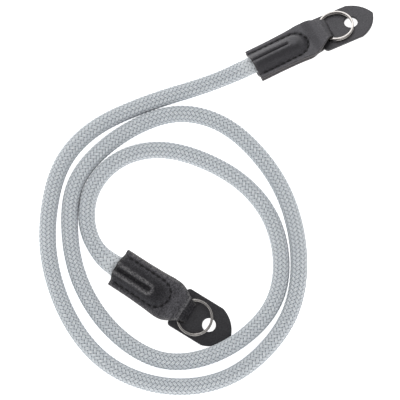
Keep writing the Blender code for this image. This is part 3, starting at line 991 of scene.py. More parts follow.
    def build(self) -> bpy.types.Object:
        """Build the rope: rings about its path, pushed out by the braid's height.

        A ring is an ellipse: half width times sine and half height times cosine of the angle from
        its lowest point. The seam's groove is a round bump taken off the top and the bottom.

        Returns:
            The rope's object.
        """
        line = self.path()
        steps = np.linalg.norm(np.diff(line, axis=0), axis=1)
        run = np.concatenate(([0.0], np.cumsum(steps)))
        from_mouth = np.minimum(run, run[-1] - run) - self.in_tab
        first = run < 0.5 * run[-1]
        free = smooth_step(from_mouth, 0.0, self.round_again)
        sewn = smooth_step(-from_mouth, 0.0, self.taper)
        side, up = self.directions(line, free, first)
        half_width, half_height = self.half_sizes(free, sewn, first)
        columns = self.strands * self.steps_a_strand
        angle = 2.0 * math.pi * np.arange(columns) / columns
        along = run[:, None] / self.pitch()
        around = np.arange(columns)[None, :] / self.steps_a_strand
        out = self.relief * (self.braid_height(along, around) - self.braid_middle)
        pinch = self.pinch_depth * (1.0 - smooth_step(from_mouth, self.pinch_full,
                                                      self.pinch_reach))
        dent = (pinch[:, None] * hump(half_width[:, None] * np.sin(angle), self.pinch_width)
                * np.sign(np.cos(angle)))
        aside = np.where(first, POSES[0].rope_left, -POSES[1].rope_left) * MM
        aside = aside * (1.0 - smooth_step(from_mouth, 0.0, self.straight_again)) * (1.0 - sewn)
        line = line + side * aside[:, None]
        points = (line[:, None, :]
                  + side[:, None, :] * ((half_width[:, None] + out) * np.sin(angle))[..., None]
                  - up[:, None, :] * ((half_height[:, None] + out) * np.cos(angle) - dent)[..., None])
        points[..., 2] = np.maximum(points[..., 2], 0.0)
        quads, caps = tube_faces(1, len(line), columns)
        # Near a mouth the strands are painted lighter: partly fluffy fibre, partly light against the
        # leather's shade.
        crushed = np.repeat(
            self.crushed * (1.0 - smooth_step(from_mouth, 1.0 * MM, self.crushed_reach)), columns)
        rope = new_mesh_object("rope_braid", points, quads.tolist() + caps.tolist(),
                               self.finish.material(), self.braid_map(quads, along, around),
                               {"crushed": crushed})
        place_piece(rope, "strap", ("rope",))
        mouth = tuple(carried(POSES[0].frame(), np.zeros(3)))
        return rope


# ---------------------------------------------------------------- leather tabs

@dataclass
class LeatherTab:
    """A strip of leather folded over the ring and sewn round the rope's end."""

    pose: EndPose
    leather: GrainedLeather
    thread: WaxedThread
    thickness: float = 1.5 * MM
    gap: float = 0.3 * MM
    length: float = 47.8 * MM
    loop_above: float = 3.0 * MM     # the upper layer's height over the tab's plane at the fold
    loop_below: float = 3.45 * MM    # and the lower layer's depth below it
    loop_start: float = 40.2 * MM
    flange_end: float = 33.5 * MM
    under_in: float = 1.4 * MM       # the lower layer is cut this much narrower at the neck
    under_from: float = 30.0 * MM    # where that cut starts, from the mouth
    under_full: float = 37.0 * MM    # and where it is complete
    lower_from: float = 0.55         # share of the strip's length where the lower layer starts
    fold_fullness: float = 1.3       # the power of the cosine
    bulge_height: float = 4.05 * MM
    bulge_half_width: float = 8.2 * MM
    bulge_length: float = 33.2 * MM
    bulge_flatness: float = 1.6
    groove_length: float = 22.5 * MM
    groove_lead_in: float = 4.0 * MM  # at the mouth it is half as deep, and full from here on
    lip_rise: float = 0.28 * MM      # leather pushed up beside the groove
    lip_out: float = 1.0 * MM        # from the groove's half width to the top of a lip
    seam_depth: float = 0.5 * MM     # the thread pulls the leather down along the seam
    seam_width: float = 0.55 * MM
    seam_start: float = 1.8 * MM     # from the mouth to the seam's first stitch
    pucker_depth: float = 0.26 * MM
    pucker_width: float = 1.4 * MM
    uneven: float = 0.08 * MM        # hand-cut leather swells and sinks slowly
    uneven_waves: tuple[float, float] = (5.3 * MM, 4.1 * MM)
    uneven_shift: float = 0.7        # in radians, across the strip
    groove_start: float = 3.0 * MM   # from the mouth to the groove's first stitch
    stitch_pitch: float = 3.7 * MM
    stitch_length: float = 2.7 * MM
    stitch_over: float = 0.05 * MM   # its ends lie this far over the seam's valley
    stitch_arch: float = 0.42 * MM   # and its middle this much higher
    stitch_rings: int = 9
    stitch_sides: int = 8
    twist: float = 1.1               # how far the thread's map runs on from ring to ring
    thread_radius: float = 0.34 * MM
    edge_round: float = 0.35 * MM
    mouth_reach: float = 7.0 * MM    # the slanted cut has no effect further in than this
    mouth_notch: float = 0.2 * MM    # the groove pulls the mouth's edge in
    notch_width: float = 1.1 * MM
    notch_reach: float = 3.0 * MM
    seam_notch: float = 0.3          # the share of it that the seams pull in
    # The coat is rubbed thin along cut edges, the groove's lips and the fold, with a painted
    # highlight there: how much, how wide.
    rub_highlight_edges: tuple[float, float] = (0.9, 1.1 * MM)
    rub_highlight_lips: tuple[float, float] = (0.9, 0.75 * MM)
    rub_highlight_fold: tuple[float, float] = (0.6, 1.3 * MM)
    fold_shade_from: float = 0.3 * MM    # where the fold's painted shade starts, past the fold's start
    fold_shade_full: float = 1.2 * MM    # and where it is complete
    groove_shade_width: float = 0.7       # its width in the groove, as a share of the half width
    step: float = 0.36 * MM          # between the grid's lines
    even_half: float = 10.0 * MM     # half width for which the lines along the edges are spaced
    # Half width of the flat strip in millimetres, by millimetres from the mouth.
    outline: tuple[tuple[float, float], ...] = (
        (0.0, 11.2), (13.0, 11.2), (24.0, 11.6), (31.5, 12.1), (34.5, 11.9), (37.0, 11.1),
        (39.5, 9.8), (42.0, 8.2), (44.0, 7.0), (47.8, 5.8))

    def fold_radius(self) -> float:
        """Give the radius of the strip's middle in the fold."""
        return 0.5 * (self.loop_above + self.loop_below)

    def flat_length(self) -> float:
        """Give the distance from the mouth to where the fold starts."""
        return self.length - self.pose.fold_reach * MM - 0.5 * self.thickness

    def strip_length(self) -> float:
        """Give the length of the whole strip along its middle."""
        return 2.0 * self.flat_length() + math.pi * self.fold_radius()

    def half_width(self, along: Array) -> Array:
        """Read the outline, with its corners rounded by averaging over a few millimetres."""
        table = np.array(self.outline) * MM
        shifts = np.linspace(-1.6, 1.6, 5) * MM
        reads = [np.interp(np.abs(along + shift), table[:, 0], table[:, 1]) for shift in shifts]
        return np.mean(reads, axis=0)

    def bulge(self, along: Array, across: Array) -> Array:
        """Give a layer's rise over the rope.

        It is a ridge with a round end, the square of a cosine, less a groove down its middle with
        a small lip on both sides, each a round bump of the distance from the groove's line.

        Args:
            along: Distance from the mouth.
            across: Distance to the left of the middle.

        Returns:
            The rise at each place.
        """
        past_straight = np.maximum(along - (self.bulge_length - self.bulge_half_width), 0.0)
        share = np.minimum(np.hypot(past_straight, across) / self.bulge_half_width, 1.0)
        wave = np.cos(0.5 * math.pi * share ** self.bulge_flatness)
        from_groove = self.groove_distance(along, across)
        lead = smooth_step(along, -self.groove_lead_in, self.groove_lead_in)
        groove = self.pose.groove_depth * MM * hump(from_groove, self.pose.groove_half_width * MM)
        lip = self.lip_rise * hump(from_groove - self.lip_at(), self.lip_out)
        return self.bulge_height * wave ** 2 + lead * (lip - groove)

    def lip_at(self) -> float:
        """Give the distance from the groove's middle to the top of its lips."""
        return self.pose.groove_half_width * MM + self.lip_out

    def groove_distance(self, along: Array, across: Array) -> Array:
        """Give the distance from the groove's middle line, which has a round end."""
        past = np.maximum(along - (self.groove_length - self.pose.groove_half_width * MM), 0.0)
        return np.hypot(past, across)

    def strip(self, run: Array, across: Array) -> Array:
        """Give the middle surface of the folded strip.

        The strip runs flat from the upper mouth, round the fold, and back flat below. The fold is
        a half circle whose sine and cosine are raised to powers, so that it has a crease at its
        crest. The two flat parts lie together up to the flange's end and then open to the fold's
        height by a smooth step.

        Args:
            run: Distance along the strip from its upper mouth edge.
            across: Distance to the left of its middle line.

        Returns:
            Points in the straight tab's frame.
        """
        flat = self.flat_length()
        radius = self.fold_radius()
        angle = np.clip((run - flat) / radius, 0.0, math.pi)
        back = np.maximum(run - flat - math.pi * radius, 0.0)
        reach = self.pose.fold_reach * MM + self.pose.fold_slant * across
        along = np.minimum(run, flat) + reach * np.sin(angle) ** self.pose.fold_crease - back
        layer = np.where(run < flat, 1.0, np.where(back > 0.0, -1.0, 0.0))
        together = 0.5 * (self.gap + self.thickness)
        opening = smooth_step(along, self.flange_end, self.loop_start)
        open_level = np.where(layer > 0.0, self.loop_above, self.loop_below)
        level = together + (open_level - together) * opening
        middle = 0.5 * (self.loop_above - self.loop_below)
        fall = np.sign(np.cos(angle)) * np.abs(np.cos(angle)) ** self.fold_fullness
        up = np.where(layer == 0.0, middle + radius * fall, layer * level)
        return np.stack((along, across, up + layer * self.bulge(along, across)), axis=-1)

    def outward(self, run: Array, across: Array) -> Array:
        """Give the strip's outward normal.

        It is the cross product of the steps along and across the strip, which points outwards on
        both layers and round the fold.

        Args:
            run: Distance along the strip.
            across: Distance to the left of its middle line.

        Returns:
            Unit vectors in the straight tab's frame.
        """
        small = 0.05 * MM
        tangent = self.strip(run + small, across) - self.strip(run - small, across)
        sideways = self.strip(run, across + small) - self.strip(run, across - small)
        normal = np.cross(tangent, sideways)
        return normal / np.linalg.norm(normal, axis=-1, keepdims=True)

    def laid(self, points: Array) -> Array:
        """Take points of the straight tab to the bent tab in the row frame, none below the floor."""
        placed = carried(self.pose.frame(), self.pose.bend(points))
        placed[..., 2] = np.maximum(placed[..., 2], 0.0)
        return placed

    def lifted(self, run: Array, across: Array, lift: Array | float) -> Array:
        """Give points over the strip's outer side.

        Args:
            run: Distance along the strip.
            across: Distance to the left of its middle line.
            lift: Height over the middle surface, along the outward normal.

        Returns:
            Points in the row frame, on the bent tab.
        """
        normal = self.outward(run, across)
        return self.laid(self.strip(run, across) + normal * np.asarray(lift)[..., None])

    def seam_distance(self, along: Array, across: Array) -> Array:
        """Give the distance from the U-shaped seam that runs round the bulge's foot."""
        past = np.maximum(along - (self.bulge_length - self.bulge_half_width), 0.0)
        return np.hypot(past, across) - self.bulge_half_width

    def relief(self, run: Array, across: Array) -> Array:
        """Give the outer side's height over an even thickness.

        A valley follows the seam. Beside it the leather puckers in a wave with a crest between
        stitches. Two slow waves make the hand-cut leather uneven.

        Args:
            run: Distance along the strip.
            across: Distance to the left of its middle line.

        Returns:
            The height at each place.
        """
        along = np.maximum(np.minimum(run, self.strip_length() - run), 0.0)
        distance = self.seam_distance(along, across)
        valley = self.seam_depth * hump(distance, self.seam_width)
        bend = self.bulge_length - self.bulge_half_width
        turn = np.arctan2(across, np.maximum(along - bend, 1e-6))
        walked = np.minimum(along, bend) + self.bulge_half_width * (0.5 * math.pi - np.abs(turn))
        wave = 0.5 + 0.5 * np.cos(2.0 * math.pi * walked / self.stitch_pitch)
        pucker = self.pucker_depth * wave * hump(distance, self.pucker_width)
        slow = (self.uneven * np.sin(run / self.uneven_waves[0])
                * np.sin(across / self.uneven_waves[1] + self.uneven_shift))
        return slow - valley - pucker

    def grid(self) -> tuple[Array, Array, Array]:
        """Lay lines over the flat strip, close together at its cut edges, where they round off.

        Returns:
            Distances along the strip as a column, the half widths there as a column, and shares
            of the half width as a row, from -1 on the right to 1 on the left.
        """
        total = self.strip_length()
        edge = self.edge_round * (1.0 - np.cos(np.linspace(0.0, 0.5 * math.pi, 4)))[:-1]
        inner = np.linspace(self.edge_round, total - self.edge_round, round(total / self.step))
        run = np.concatenate((edge, inner, (total - edge)[::-1]))[:, None]
        along = self.strip(run, np.zeros_like(run))[..., 0]
        under = (smooth_step(along, self.under_from, self.under_full)
                 * (run > self.lower_from * total))
        width = self.half_width(along) - self.under_in * under
        edge_share = edge / self.even_half
        first = -1.0 + self.edge_round / self.even_half
        middle = np.linspace(first, -first, round(2.0 * self.outline[0][1] * MM / self.step))
        shares = np.concatenate((-1.0 + edge_share, middle, (1.0 - edge_share)[::-1]))[None, :]
        return run, width, shares

    def mouth_stretch(self, from_edge: Array, across: Array, shares: Array) -> Array:
        """Give how far the leather near the mouth is drawn out over the rope.

        The cut edge slants by the share across and bows by its squared cosine. The groove and the
        seams pull notches into it, each a round bump.

        Args:
            from_edge: Distance from the nearer mouth edge along the strip.
            across: Distance to the left of the middle line.
            shares: The same as a share of the half width.

        Returns:
            The distance at each place.
        """
        near_mouth = 1.0 - smooth_step(from_edge, 0.0, self.mouth_reach)
        notches = (self.mouth_notch * hump(across, self.notch_width)
                   + self.seam_notch * self.mouth_notch
                   * hump(np.abs(across) - self.bulge_half_width, MM))
        over = (self.pose.mouth_over + self.pose.mouth_slant * shares
                + self.pose.mouth_bow * np.cos(0.5 * math.pi * shares) ** 2) * MM
        return over * near_mouth - notches * (1.0 - smooth_step(from_edge, 0.0, self.notch_reach))

    def wear(self, run: Array, across: Array, to_edge: Array) -> dict[str, Array]:
        """Give the marks that the leather's finish reads, each from 0 to 1.

        The rub is a sum of round bumps of the distance from the cut edges, the groove's lips and the
        fold's start, for real wear with a painted highlight. The crease shade is a smooth step into
        the fold, a round bump in the groove and the root of the bulge over the rope, all painted
        shade.

        Args:
            run: Distance along the strip.
            across: Distance to the left of its middle line.
            to_edge: Distance from the nearest cut edge.

        Returns:
            The marks of the outer grid's vertices, and the same again for the inner grid's.
        """
        back = np.minimum(run, self.strip_length() - run)
        flat = self.flat_length()
        on_face = back < flat
        share = np.clip(self.bulge(back, across) / self.bulge_height, 0.0, 1.0)
        from_groove = self.groove_distance(back, across)
        beside_groove = hump(from_groove - self.lip_at(), self.rub_highlight_lips[1])
        # Real wear with a painted highlight on the cut edges, the groove's lips and the fold's start.
        rubbed = self.pose.rub * (
            self.rub_highlight_edges[0] * hump(to_edge - self.edge_round, self.rub_highlight_edges[1])
            + np.where(on_face, self.rub_highlight_lips[0] * beside_groove, 0.0)
            + self.rub_highlight_fold[0] * hump(back - flat, self.rub_highlight_fold[1]))
        # Painted shade in the groove, over the rope and in the fold.
        in_groove = hump(from_groove, self.groove_shade_width * self.pose.groove_half_width * MM)
        ridge = self.pose.ridge_shade * np.sqrt(share) * (1.0 - beside_groove)
        folded = smooth_step(back, flat + self.fold_shade_from, flat + self.fold_shade_full)
        creased = self.pose.fold_shade * folded + np.where(on_face, in_groove + ridge, 0.0)
        marks = {"cut_edge": to_edge < 0.6 * self.edge_round,
                 "stretched": np.where(on_face, share, 0.0),
                 "rubbed": np.clip(rubbed, 0.0, 1.0), "creased": np.clip(creased, 0.0, 1.0)}
        return {key: np.tile(np.broadcast_to(values, across.shape).ravel(), 2).astype(np.float32)
                for key, values in marks.items()}

    def build(self) -> bpy.types.Object:
        """Build the leather: an outer and an inner grid, joined round the strip's edge.

        Half the thickness falls by a quarter circle near the cut edges, so that they are rounded.

        Returns:
            The tab's object.
        """
        run, width, shares = self.grid()
        across = width * shares
        total = self.strip_length()
        from_edge = np.minimum(run, total - run)
        stretch = self.mouth_stretch(from_edge, across, shares)
        run = run - stretch * np.where(run < 0.5 * total, 1.0, -1.0)
        to_edge = np.minimum(from_edge, width * (1.0 - np.abs(shares)))
        inset = np.minimum(to_edge, self.edge_round)
        half = (0.5 * self.thickness - self.edge_round
                + np.sqrt(self.edge_round ** 2 - (self.edge_round - inset) ** 2))
        outer = self.lifted(run, across, half + self.relief(run, across))
        inner = self.lifted(run, across, -half)
        faces = shell_faces(*across.shape)
        flat_map = np.tile(np.stack((run, across), axis=-1).reshape(-1, 2) / MM, (2, 1))
        name = self.pose.end.value
        tab = new_mesh_object("tab_leather_" + name, np.stack((outer, inner)), faces.tolist(),
                              self.leather.material(), flat_map[faces.ravel()],
                              self.wear(run, across, to_edge))
        place_piece(tab, "strap", ("end_tab_" + name,))
        return tab

    def seam_points(self) -> tuple[Array, Array]:
        """Give the middles of the stitches along the U seam and the directions of the seam there.

        The seam is walked from one mouth corner, straight to the bend, round its half circle and
        back straight.

        Returns:
            Rows of (along, across), and rows of the same for the unit direction.
        """
        bend = self.bulge_length - self.bulge_half_width
        radius = self.bulge_half_width
        arc = math.pi * radius
        whole = 2.0 * (bend - self.seam_start) + arc
        count = round(whole / self.stitch_pitch)
        walked = self.seam_start + (np.arange(count) + 0.5) * whole / count
        angle = np.clip((walked - bend) / radius, 0.0, math.pi)
        back = np.maximum(walked - bend - arc, 0.0)
        along = np.minimum(walked, bend) + radius * np.sin(angle) - back
        places = np.stack((along, radius * np.cos(angle)), axis=1)
        directions = np.stack((np.cos(angle), -np.sin(angle)), axis=1)
        return places, directions

    def groove_points(self) -> tuple[Array, Array]:
        """Give the middles and directions of the stitches down the groove."""
        first = self.groove_start
        count = round((self.groove_length - first) / self.stitch_pitch)
        along = first + (np.arange(count) + 0.5) * (self.groove_length - first) / count
        places = np.stack((along, np.zeros(count)), axis=1)
        return places, np.tile((1.0, 0.0), (count, 1))

    def build_stitches(self) -> bpy.types.Object:
        """Build the thread on both sides of the tab.

        Each stitch is a short round thread that follows the seam, arched by a cosine so that its
        ends dip into their holes. Its radius goes with the root of 1 minus the share of the way
        to an end to the fourth power.

        Returns:
            The stitches' object.
        """
        seam, seam_ways = self.seam_points()
        groove, groove_ways = self.groove_points()
        places = np.concatenate((seam, groove))
        ways = np.concatenate((seam_ways, groove_ways))
        rings, sides = self.stitch_rings, self.stitch_sides
        share = np.linspace(-1.0, 1.0, rings)
        angle = 2.0 * math.pi * np.arange(sides) / sides
        radius = self.thread_radius * np.sqrt(np.maximum(1.0 - share ** 4, 0.002))
        walk = 0.5 * self.stitch_length * share
        base = 0.5 * self.thickness + self.stitch_over - self.seam_depth
        arch = base + self.stitch_arch * np.cos(0.5 * math.pi * share)
        line = places[:, None, :] + ways[:, None, :] * walk[None, :, None]
        run = np.concatenate((line[..., 0], self.strip_length() - line[..., 0]))
        across = np.concatenate((line[..., 1], line[..., 1]))
        middle = self.strip(run, across)
        normal = self.outward(run, across)
        ahead = np.gradient(middle, axis=1)
        aside = np.cross(normal, ahead)
        aside /= np.linalg.norm(aside, axis=-1, keepdims=True)
        high = arch[:, None] + radius[:, None] * np.cos(angle)
        wide = radius[:, None] * np.sin(angle)
        tube = (middle[:, :, None] + normal[:, :, None] * high[None, ..., None]
                + aside[:, :, None] * wide[None, ..., None])
        points = self.laid(tube)
        quads, caps = tube_faces(len(tube), rings, sides)
        uv = np.zeros((quads.size + caps.size, 2))
        uv[:quads.size, 0] = ((quads // sides) % rings * self.twist).ravel()
        uv[:quads.size, 1] = (quads % sides).ravel() / sides
        name = self.pose.end.value
        stitches = new_mesh_object("tab_stitches_" + name, points,
                                   quads.tolist() + caps.tolist(), self.thread.material(), uv)
        place_piece(stitches, "strap")
        return stitches


# ---------------------------------------------------------------- split rings

@dataclass
class SplitRing:
    """A ring of flat wire coiled in two turns, with a notch where it climbs."""

    pose: EndPose
    finish: NickelledSteel
    outer_diameter: float = 20.3 * MM
    wire_width: float = 1.15 * MM
    wire_height: float = 0.9 * MM
    section_power: float = 0.6       # 1 would make the wire's section an ellipse
    turn_rise: float = 1.0 * MM      # from the lower turn's middle to the upper one's
    ramp: float = 0.06               # half of the climb between them, in turns
    notch_at: float = -140.0         # its direction in degrees, 0 away from the tab
    end_shrink: float = 0.45
    end_reach: float = 0.5 * MM
    steps: int = 360
    sides: int = 24

    def build(self) -> bpy.types.Object:
        """Build the ring: a rounded rectangle carried along two turns.

        The section is a superellipse, the cosine and sine to a power with their signs. The two
        turns are level, joined by a smooth step, and the section shrinks at both wire ends by the
        square of a smooth step.

        Returns:
            The ring's object.
        """
        radius = 0.5 * (self.outer_diameter - self.wire_width)
        turns = np.linspace(self.ramp, 2.0 - self.ramp, self.steps)
        angle = 2.0 * math.pi * turns + math.radians(self.notch_at)
        step = smooth_step(turns, 1.0 - self.ramp, 1.0 + self.ramp) - 0.5
        rise = self.turn_rise * step
        to_end = np.minimum(turns - turns[0], turns[-1] - turns) * 2.0 * math.pi * radius
        shrink = 1.0 - self.end_shrink * (1.0 - smooth_step(to_end, 0.0, self.end_reach)) ** 2
        around = 2.0 * math.pi * np.arange(self.sides) / self.sides
        wide, tall = (np.sign(wave) * np.abs(wave) ** self.section_power
                      for wave in (np.cos(around), np.sin(around)))
        reach = radius + 0.5 * self.wire_width * shrink[:, None] * wide
        high = rise[:, None] + 0.5 * self.wire_height * shrink[:, None] * tall
        local = np.stack((reach * np.cos(angle)[:, None], reach * np.sin(angle)[:, None], high),
                         axis=-1)
        way = math.radians(self.pose.slip_at)
        shift = np.array((math.cos(way), math.sin(way))) * self.pose.turn_slip * MM
        local[..., :2] += (step[:, None] * shift)[:, None, :]
        place = self.pose.held(self.pose.ring_from_mouth * MM, self.pose.ring_left * MM,
                               self.pose.ring_height * MM, self.pose.ring_nose_up)
        quads, caps = tube_faces(1, self.steps, self.sides)
        name = self.pose.end.value
        ring = new_mesh_object("ring_wire_" + name, carried(place, local),
                               quads.tolist() + caps.tolist(), self.finish.material())
        place_piece(ring, "ring_" + name, ("split_ring_" + name,))
        return ring


# ---------------------------------------------------------------- protector pads

@dataclass
class ProtectorPad:
    """A flat leather pad: round hole, a slot for the tab's loop, and an arched tip."""

    pose: EndPose
    leather: GrainedLeather
    tab: LeatherTab                  # its folded strip passes through the slot
    thickness: float = 1.6 * MM
    half_width: float = 11.9 * MM
    length: float = 33.9 * MM
    shoulder: float = 21.9 * MM
    flank_radius: float = 17.6 * MM
    corner_radius: float = 2.2 * MM
    hole_diameter: float = 7.6 * MM
    hole_at: float = 19.9 * MM
    bridge: float = 3.0 * MM
    slot_grip: float = 0.5 * MM      # the slot is this much narrower on each side than the strip
    slot_corner: float = 0.3 * MM
    height_in_loop: float = -1.5 * MM
    edge_round: float = 0.4 * MM
    cell: float = 1.0 * MM           # spacing of the lines that let the flat plate bend
    dish: float = 0.25 * MM          # the tip is cupped a little towards its top
    uneven: float = 0.05 * MM        # and the plate swells and sinks slowly
    uneven_waves: tuple[float, float] = (4.7 * MM, 5.1 * MM)

    @staticmethod
    def arc(centre: tuple[float, float], radius: float, start: float, stop: float,
            steps: int) -> Array:
        """Give points on an arc between two angles in radians, one a row."""
        angles = np.linspace(start, stop, steps + 1)
        return np.stack((centre[0] + radius * np.cos(angles),
                         centre[1] + radius * np.sin(angles)), axis=1)

    def outline(self) -> Array:
        """Give the pad's outline: round inner corners, straight sides, two flanks to the tip."""
        chord = np.array((self.length - self.shoulder, -self.half_width))
        middle = np.array((self.shoulder, self.half_width)) + 0.5 * chord
        inward = np.array((chord[1], -chord[0])) / np.linalg.norm(chord)
        reach = math.sqrt(self.flank_radius ** 2 - 0.25 * float(chord @ chord))
        centre = middle + reach * inward
        start = math.atan2(self.half_width - centre[1], self.shoulder - centre[0])
        stop = math.atan2(-centre[1], self.length - centre[0])
        flank = self.arc((centre[0], centre[1]), self.flank_radius, start, stop, 28)
        corner = (self.corner_radius - self.pose.pad_under * MM,
                  self.half_width - self.corner_radius)
        left = np.concatenate((self.arc(corner, self.corner_radius, math.pi, 0.5 * math.pi, 8),
                               flank))
        return np.concatenate((left, (left * (1.0, -1.0))[-2::-1]))

    def slot_outline(self) -> Array:
        """Give the slot's outline: the width of the strip at both its ends, with round corners.

        The slot is square to the strip, so it turns back by the pad's own turn.

        Returns:
            Points in the pad's frame, one a row.
        """
        start = self.pose.pad_from_mouth * MM
        far = self.tab.length - self.pose.slot_press * MM - start
        near_side, far_side = (
            float(self.tab.half_width(np.array(start + place))) - self.slot_grip - self.slot_corner
            for place in (self.bridge, far - self.tab.thickness))
        near = self.bridge + self.slot_corner
        far = far - self.slot_corner
        quarter = 0.5 * math.pi
        corners = ((far, far_side), (near, near_side), (near, -near_side), (far, -far_side))
        points = np.concatenate([
            self.arc(corner, self.slot_corner, i * quarter, (i + 1) * quarter, 4)
            for i, corner in enumerate(corners)])
        turn = math.radians(-self.pose.pad_turn)
        back = np.array(((math.cos(turn), math.sin(turn)), (-math.sin(turn), math.cos(turn))))
        pivot = np.array((0.5 * self.bridge, 0.0))
        return (points - pivot) @ back + pivot

    def plate(self) -> bpy.types.Mesh:
        """Fill the outlines as a flat curve with rounded edges and turn it into a mesh."""
        curve = bpy.data.curves.new("pad_plate", "CURVE")
        curve.dimensions = "2D"
        curve.fill_mode = "BOTH"
        curve.extrude = 0.5 * self.thickness - self.edge_round
        curve.bevel_depth = self.edge_round
        curve.bevel_resolution = 2
        curve.offset = -self.edge_round
        hole = self.arc((self.hole_at, 0.0), 0.5 * self.hole_diameter, 0.0, 2.0 * math.pi, 64)[:-1]
        for outline in (self.outline(), self.slot_outline(), hole):
            spline = curve.splines.new("POLY")
            spline.points.add(len(outline) - 1)
            flat = np.column_stack((outline, np.zeros(len(outline)), np.ones(len(outline))))
            spline.points.foreach_set("co", flat.astype(np.float32).ravel())
            spline.use_cyclic_u = True
        holder = bpy.data.objects.new("pad_plate", curve)
        bpy.context.scene.collection.objects.link(holder)
        view = bpy.context.evaluated_depsgraph_get()
        mesh = bpy.data.meshes.new_from_object(holder.evaluated_get(view))
        bpy.data.objects.remove(holder, do_unlink=True)
        return mesh

    def cut_up(self, mesh: bpy.types.Mesh) -> None:
        """Cut the plate along evenly spaced lines both ways, into triangles that can bend.

        Args:
            mesh: The plate, which is changed.
        """
        work = bmesh.new()
        work.from_mesh(mesh)
        bmesh.ops.remove_doubles(work, verts=work.verts, dist=0.01 * MM)
        along, across = Vector((1.0, 0.0, 0.0)), Vector((0.0, 1.0, 0.0))
        for normal, low, high in ((along, 0.0, self.length),
                                  (across, -self.half_width, self.half_width)):
            for place in np.arange(low + self.cell, high, self.cell):
                bmesh.ops.bisect_plane(work, geom=work.verts[:] + work.edges[:] + work.faces[:],
                                       plane_co=normal * place, plane_no=normal, dist=0.001 * MM)
        bmesh.ops.triangulate(work, faces=work.faces)
        work.to_mesh(mesh)
        work.free()

    def build(self) -> bpy.types.Object:
        """Build the pad: the plate, cut by lines so that it bends, cupped at its tip.

        The cup is a square rise past the hole, and a sine along times a cosine across makes the
        plate uneven. The cut edge is marked where the plate's side is.

        Returns:
            The pad's object.
        """
        mesh = self.plate()
        self.cut_up(mesh)
        points = np.empty(3 * len(mesh.vertices), dtype=np.float32)
        mesh.vertices.foreach_get("co", points)
        points = points.reshape(-1, 3).astype(float)
        side = (np.abs(points[:, 2]) < 0.5 * self.thickness - 0.6 * self.edge_round)
        past = np.maximum(points[:, 0] - self.hole_at, 0.0) / (self.length - self.hole_at)
        points[:, 2] += self.dish * past ** 2
        points[:, 2] += (self.uneven * np.sin(points[:, 0] / self.uneven_waves[0])
                         * np.cos(points[:, 1] / self.uneven_waves[1]))
        place = self.pose.held(self.pose.pad_from_mouth * MM + 0.5 * self.bridge, 0.0,
                               self.height_in_loop, self.pose.pad_nose_up, self.pose.pad_turn)
        place = place @ Matrix.Translation((-0.5 * self.bridge, 0.0, 0.0))
        mesh.vertices.foreach_set("co", carried(place, points).astype(np.float32).ravel())
        mesh.attributes.new("cut_edge", "FLOAT", "POINT").data.foreach_set(
            "value", side.astype(np.float32))
        name = self.pose.end.value
        mesh.name = "pad_leather_" + name
        mesh.materials.clear()
        mesh.materials.append(self.leather.material())
        mesh.set_sharp_from_angle(angle=math.radians(50.0))
        mesh.update()
        pad = bpy.data.objects.new(mesh.name, mesh)
        bpy.context.scene.collection.objects.link(pad)
        place_piece(pad, "strap", ("protector_pad_" + name,))
        return pad


# ---------------------------------------------------------------- studio

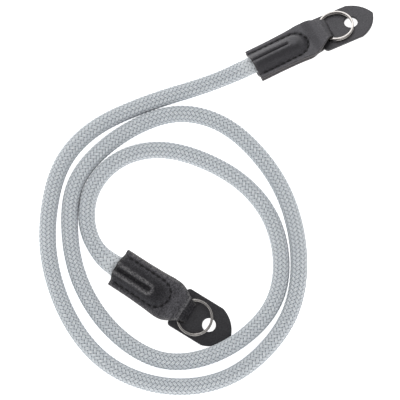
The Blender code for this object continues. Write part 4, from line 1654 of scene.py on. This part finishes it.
@dataclass
class Studio:
    """Pale floor, soft light from the far left, and the camera of the photograph."""

    frame_width: float = 224.0 * MM  # what the picture shows of the floor
    target: tuple[float, float] = (-23.89 * MM, -14.79 * MM)
    tilt: float = 14.0               # degrees from straight down, towards the viewer
    distance: float = 1600.0 * MM
    sensor: float = 36.0
    floor_size: float = 8.0
    floor_lines: int = 9
    floor_under: float = 0.05 * MM
    wall_glow: float = 0.95
    top_glow: float = 0.3
    walls_fade: tuple[float, float] = (0.5, 0.9)  # the upward part of a unit vector at them

    def build_camera(self) -> None:
        """Look down on the strap, tilted a little, through a long lens."""
        data = bpy.data.cameras.new("camera")
        data.sensor_width = self.sensor
        data.lens = self.sensor * self.distance / self.frame_width
        data.clip_start = 0.01
        data.clip_end = 50.0
        camera = bpy.data.objects.new("camera", data)
        tilt = math.radians(self.tilt)
        camera.location = (self.target[0], self.target[1] - self.distance * math.sin(tilt),
                           self.distance * math.cos(tilt))
        camera.rotation_euler = (tilt, 0.0, 0.0)
        bpy.context.scene.collection.objects.link(camera)
        bpy.context.scene.camera = camera

    def build_floor(self) -> None:
        """Lay a flat sheet of film just under the strap."""
        side = np.linspace(-0.5, 0.5, self.floor_lines) * self.floor_size
        x, y = np.meshgrid(side, side, indexing="ij")
        points = np.stack((x, y, np.full_like(x, -self.floor_under)), axis=-1)
        floor = new_mesh_object("paper_floor", points, grid_faces(*x.shape).tolist(),
                                LightTableFilm().material())

    def add_light(self, name: str, azimuth: float, elevation: float, away: float, size: float,
                  power: float) -> None:
        """Hang a soft square light that faces the strap.

        Args:
            name: The light's name.
            azimuth: Degrees from +Y towards +X that it stands at.
            elevation: Degrees above the floor.
            away: Its distance.
            size: Its side length.
            power: Its power in watts.
        """
        data = bpy.data.lights.new(name, "AREA")
        data.size = size
        data.energy = power
        lamp = bpy.data.objects.new(name, data)
        turn, rise = math.radians(azimuth), math.radians(elevation)
        lamp.location = (away * math.sin(turn) * math.cos(rise),
                         away * math.cos(turn) * math.cos(rise), away * math.sin(rise))
        lamp.rotation_euler = (math.radians(90.0) - rise, 0.0, math.pi - turn)
        lamp.visible_camera = False
        bpy.context.scene.collection.objects.link(lamp)

    def build_lights(self) -> None:
        """Set a soft light at the far side, weaker fills around, and a white tent.

        The tent's walls are bright up to mid height and it is darker round its open top.
        """
        self.add_light("softbox", azimuth=-19.0, elevation=33.0, away=1.6, size=1.3, power=8.5)
        self.add_light("side_fill", azimuth=-115.0, elevation=25.0, away=1.8, size=1.2, power=3.0)
        self.add_light("front_fill", azimuth=150.0, elevation=30.0, away=1.8, size=2.0, power=10.0)
        world = bpy.data.worlds.new("surround")
        world.use_nodes = True
        tree = world.node_tree
        shade = tree.nodes["Background"]
        place = tree.nodes.new("ShaderNodeTexCoord")
        split = tree.nodes.new("ShaderNodeSeparateXYZ")
        walls = tree.nodes.new("ShaderNodeMapRange")
        walls.interpolation_type = "SMOOTHSTEP"
        for number, value in enumerate((*self.walls_fade, self.wall_glow, self.top_glow), 1):
            walls.inputs[number].default_value = value
        tree.links.new(place.outputs["Generated"], split.inputs[0])
        tree.links.new(split.outputs["Z"], walls.inputs[0])
        tree.links.new(walls.outputs[0], shade.inputs["Strength"])
        shade.inputs["Color"].default_value = (1.0, 1.0, 1.0, 1.0)
        bpy.context.scene.world = world
        bpy.context.scene.view_settings.view_transform = "Standard"


# ---------------------------------------------------------------- assembly

def main() -> None:
    """Build the camera, the rope, both ends and the studio, and log each piece."""
    logging.basicConfig(level=logging.INFO, format="%(name)s %(message)s")
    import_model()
    studio = Studio()
    studio.build_camera()
    Rope().build()
    # Both tabs are one leather: their worn tones differ as painted light and shade, darker on the
    # outer tab and lighter on the inner one, for how the light falls on each.
    tab_leathers = (
        GrainedLeather("close_grained_cowhide", worn="#2F2E31", pebble_rise=0.09 * MM),
        GrainedLeather("pebbled_cowhide", worn="#525155"))
    pad_leather = GrainedLeather("fine_grained_cowhide", ground="#141415", worn="#2E2E2F",
                                 cut="#34312F", pebble=0.6 * MM, pebble_rise=0.08 * MM,
                                 roughness=0.5, folded=False)
    for pose, tab_leather in zip(POSES, tab_leathers):
        LooseFibres(pose, BraidedCord()).build()
        tab = LeatherTab(pose, tab_leather, WaxedThread())
        tab.build()
        tab.build_stitches()
        SplitRing(pose, NickelledSteel()).build()
        ProtectorPad(pose, pad_leather, tab).build()
    studio.build_floor()
    studio.build_lights()


if __name__ == "__main__":
    main()
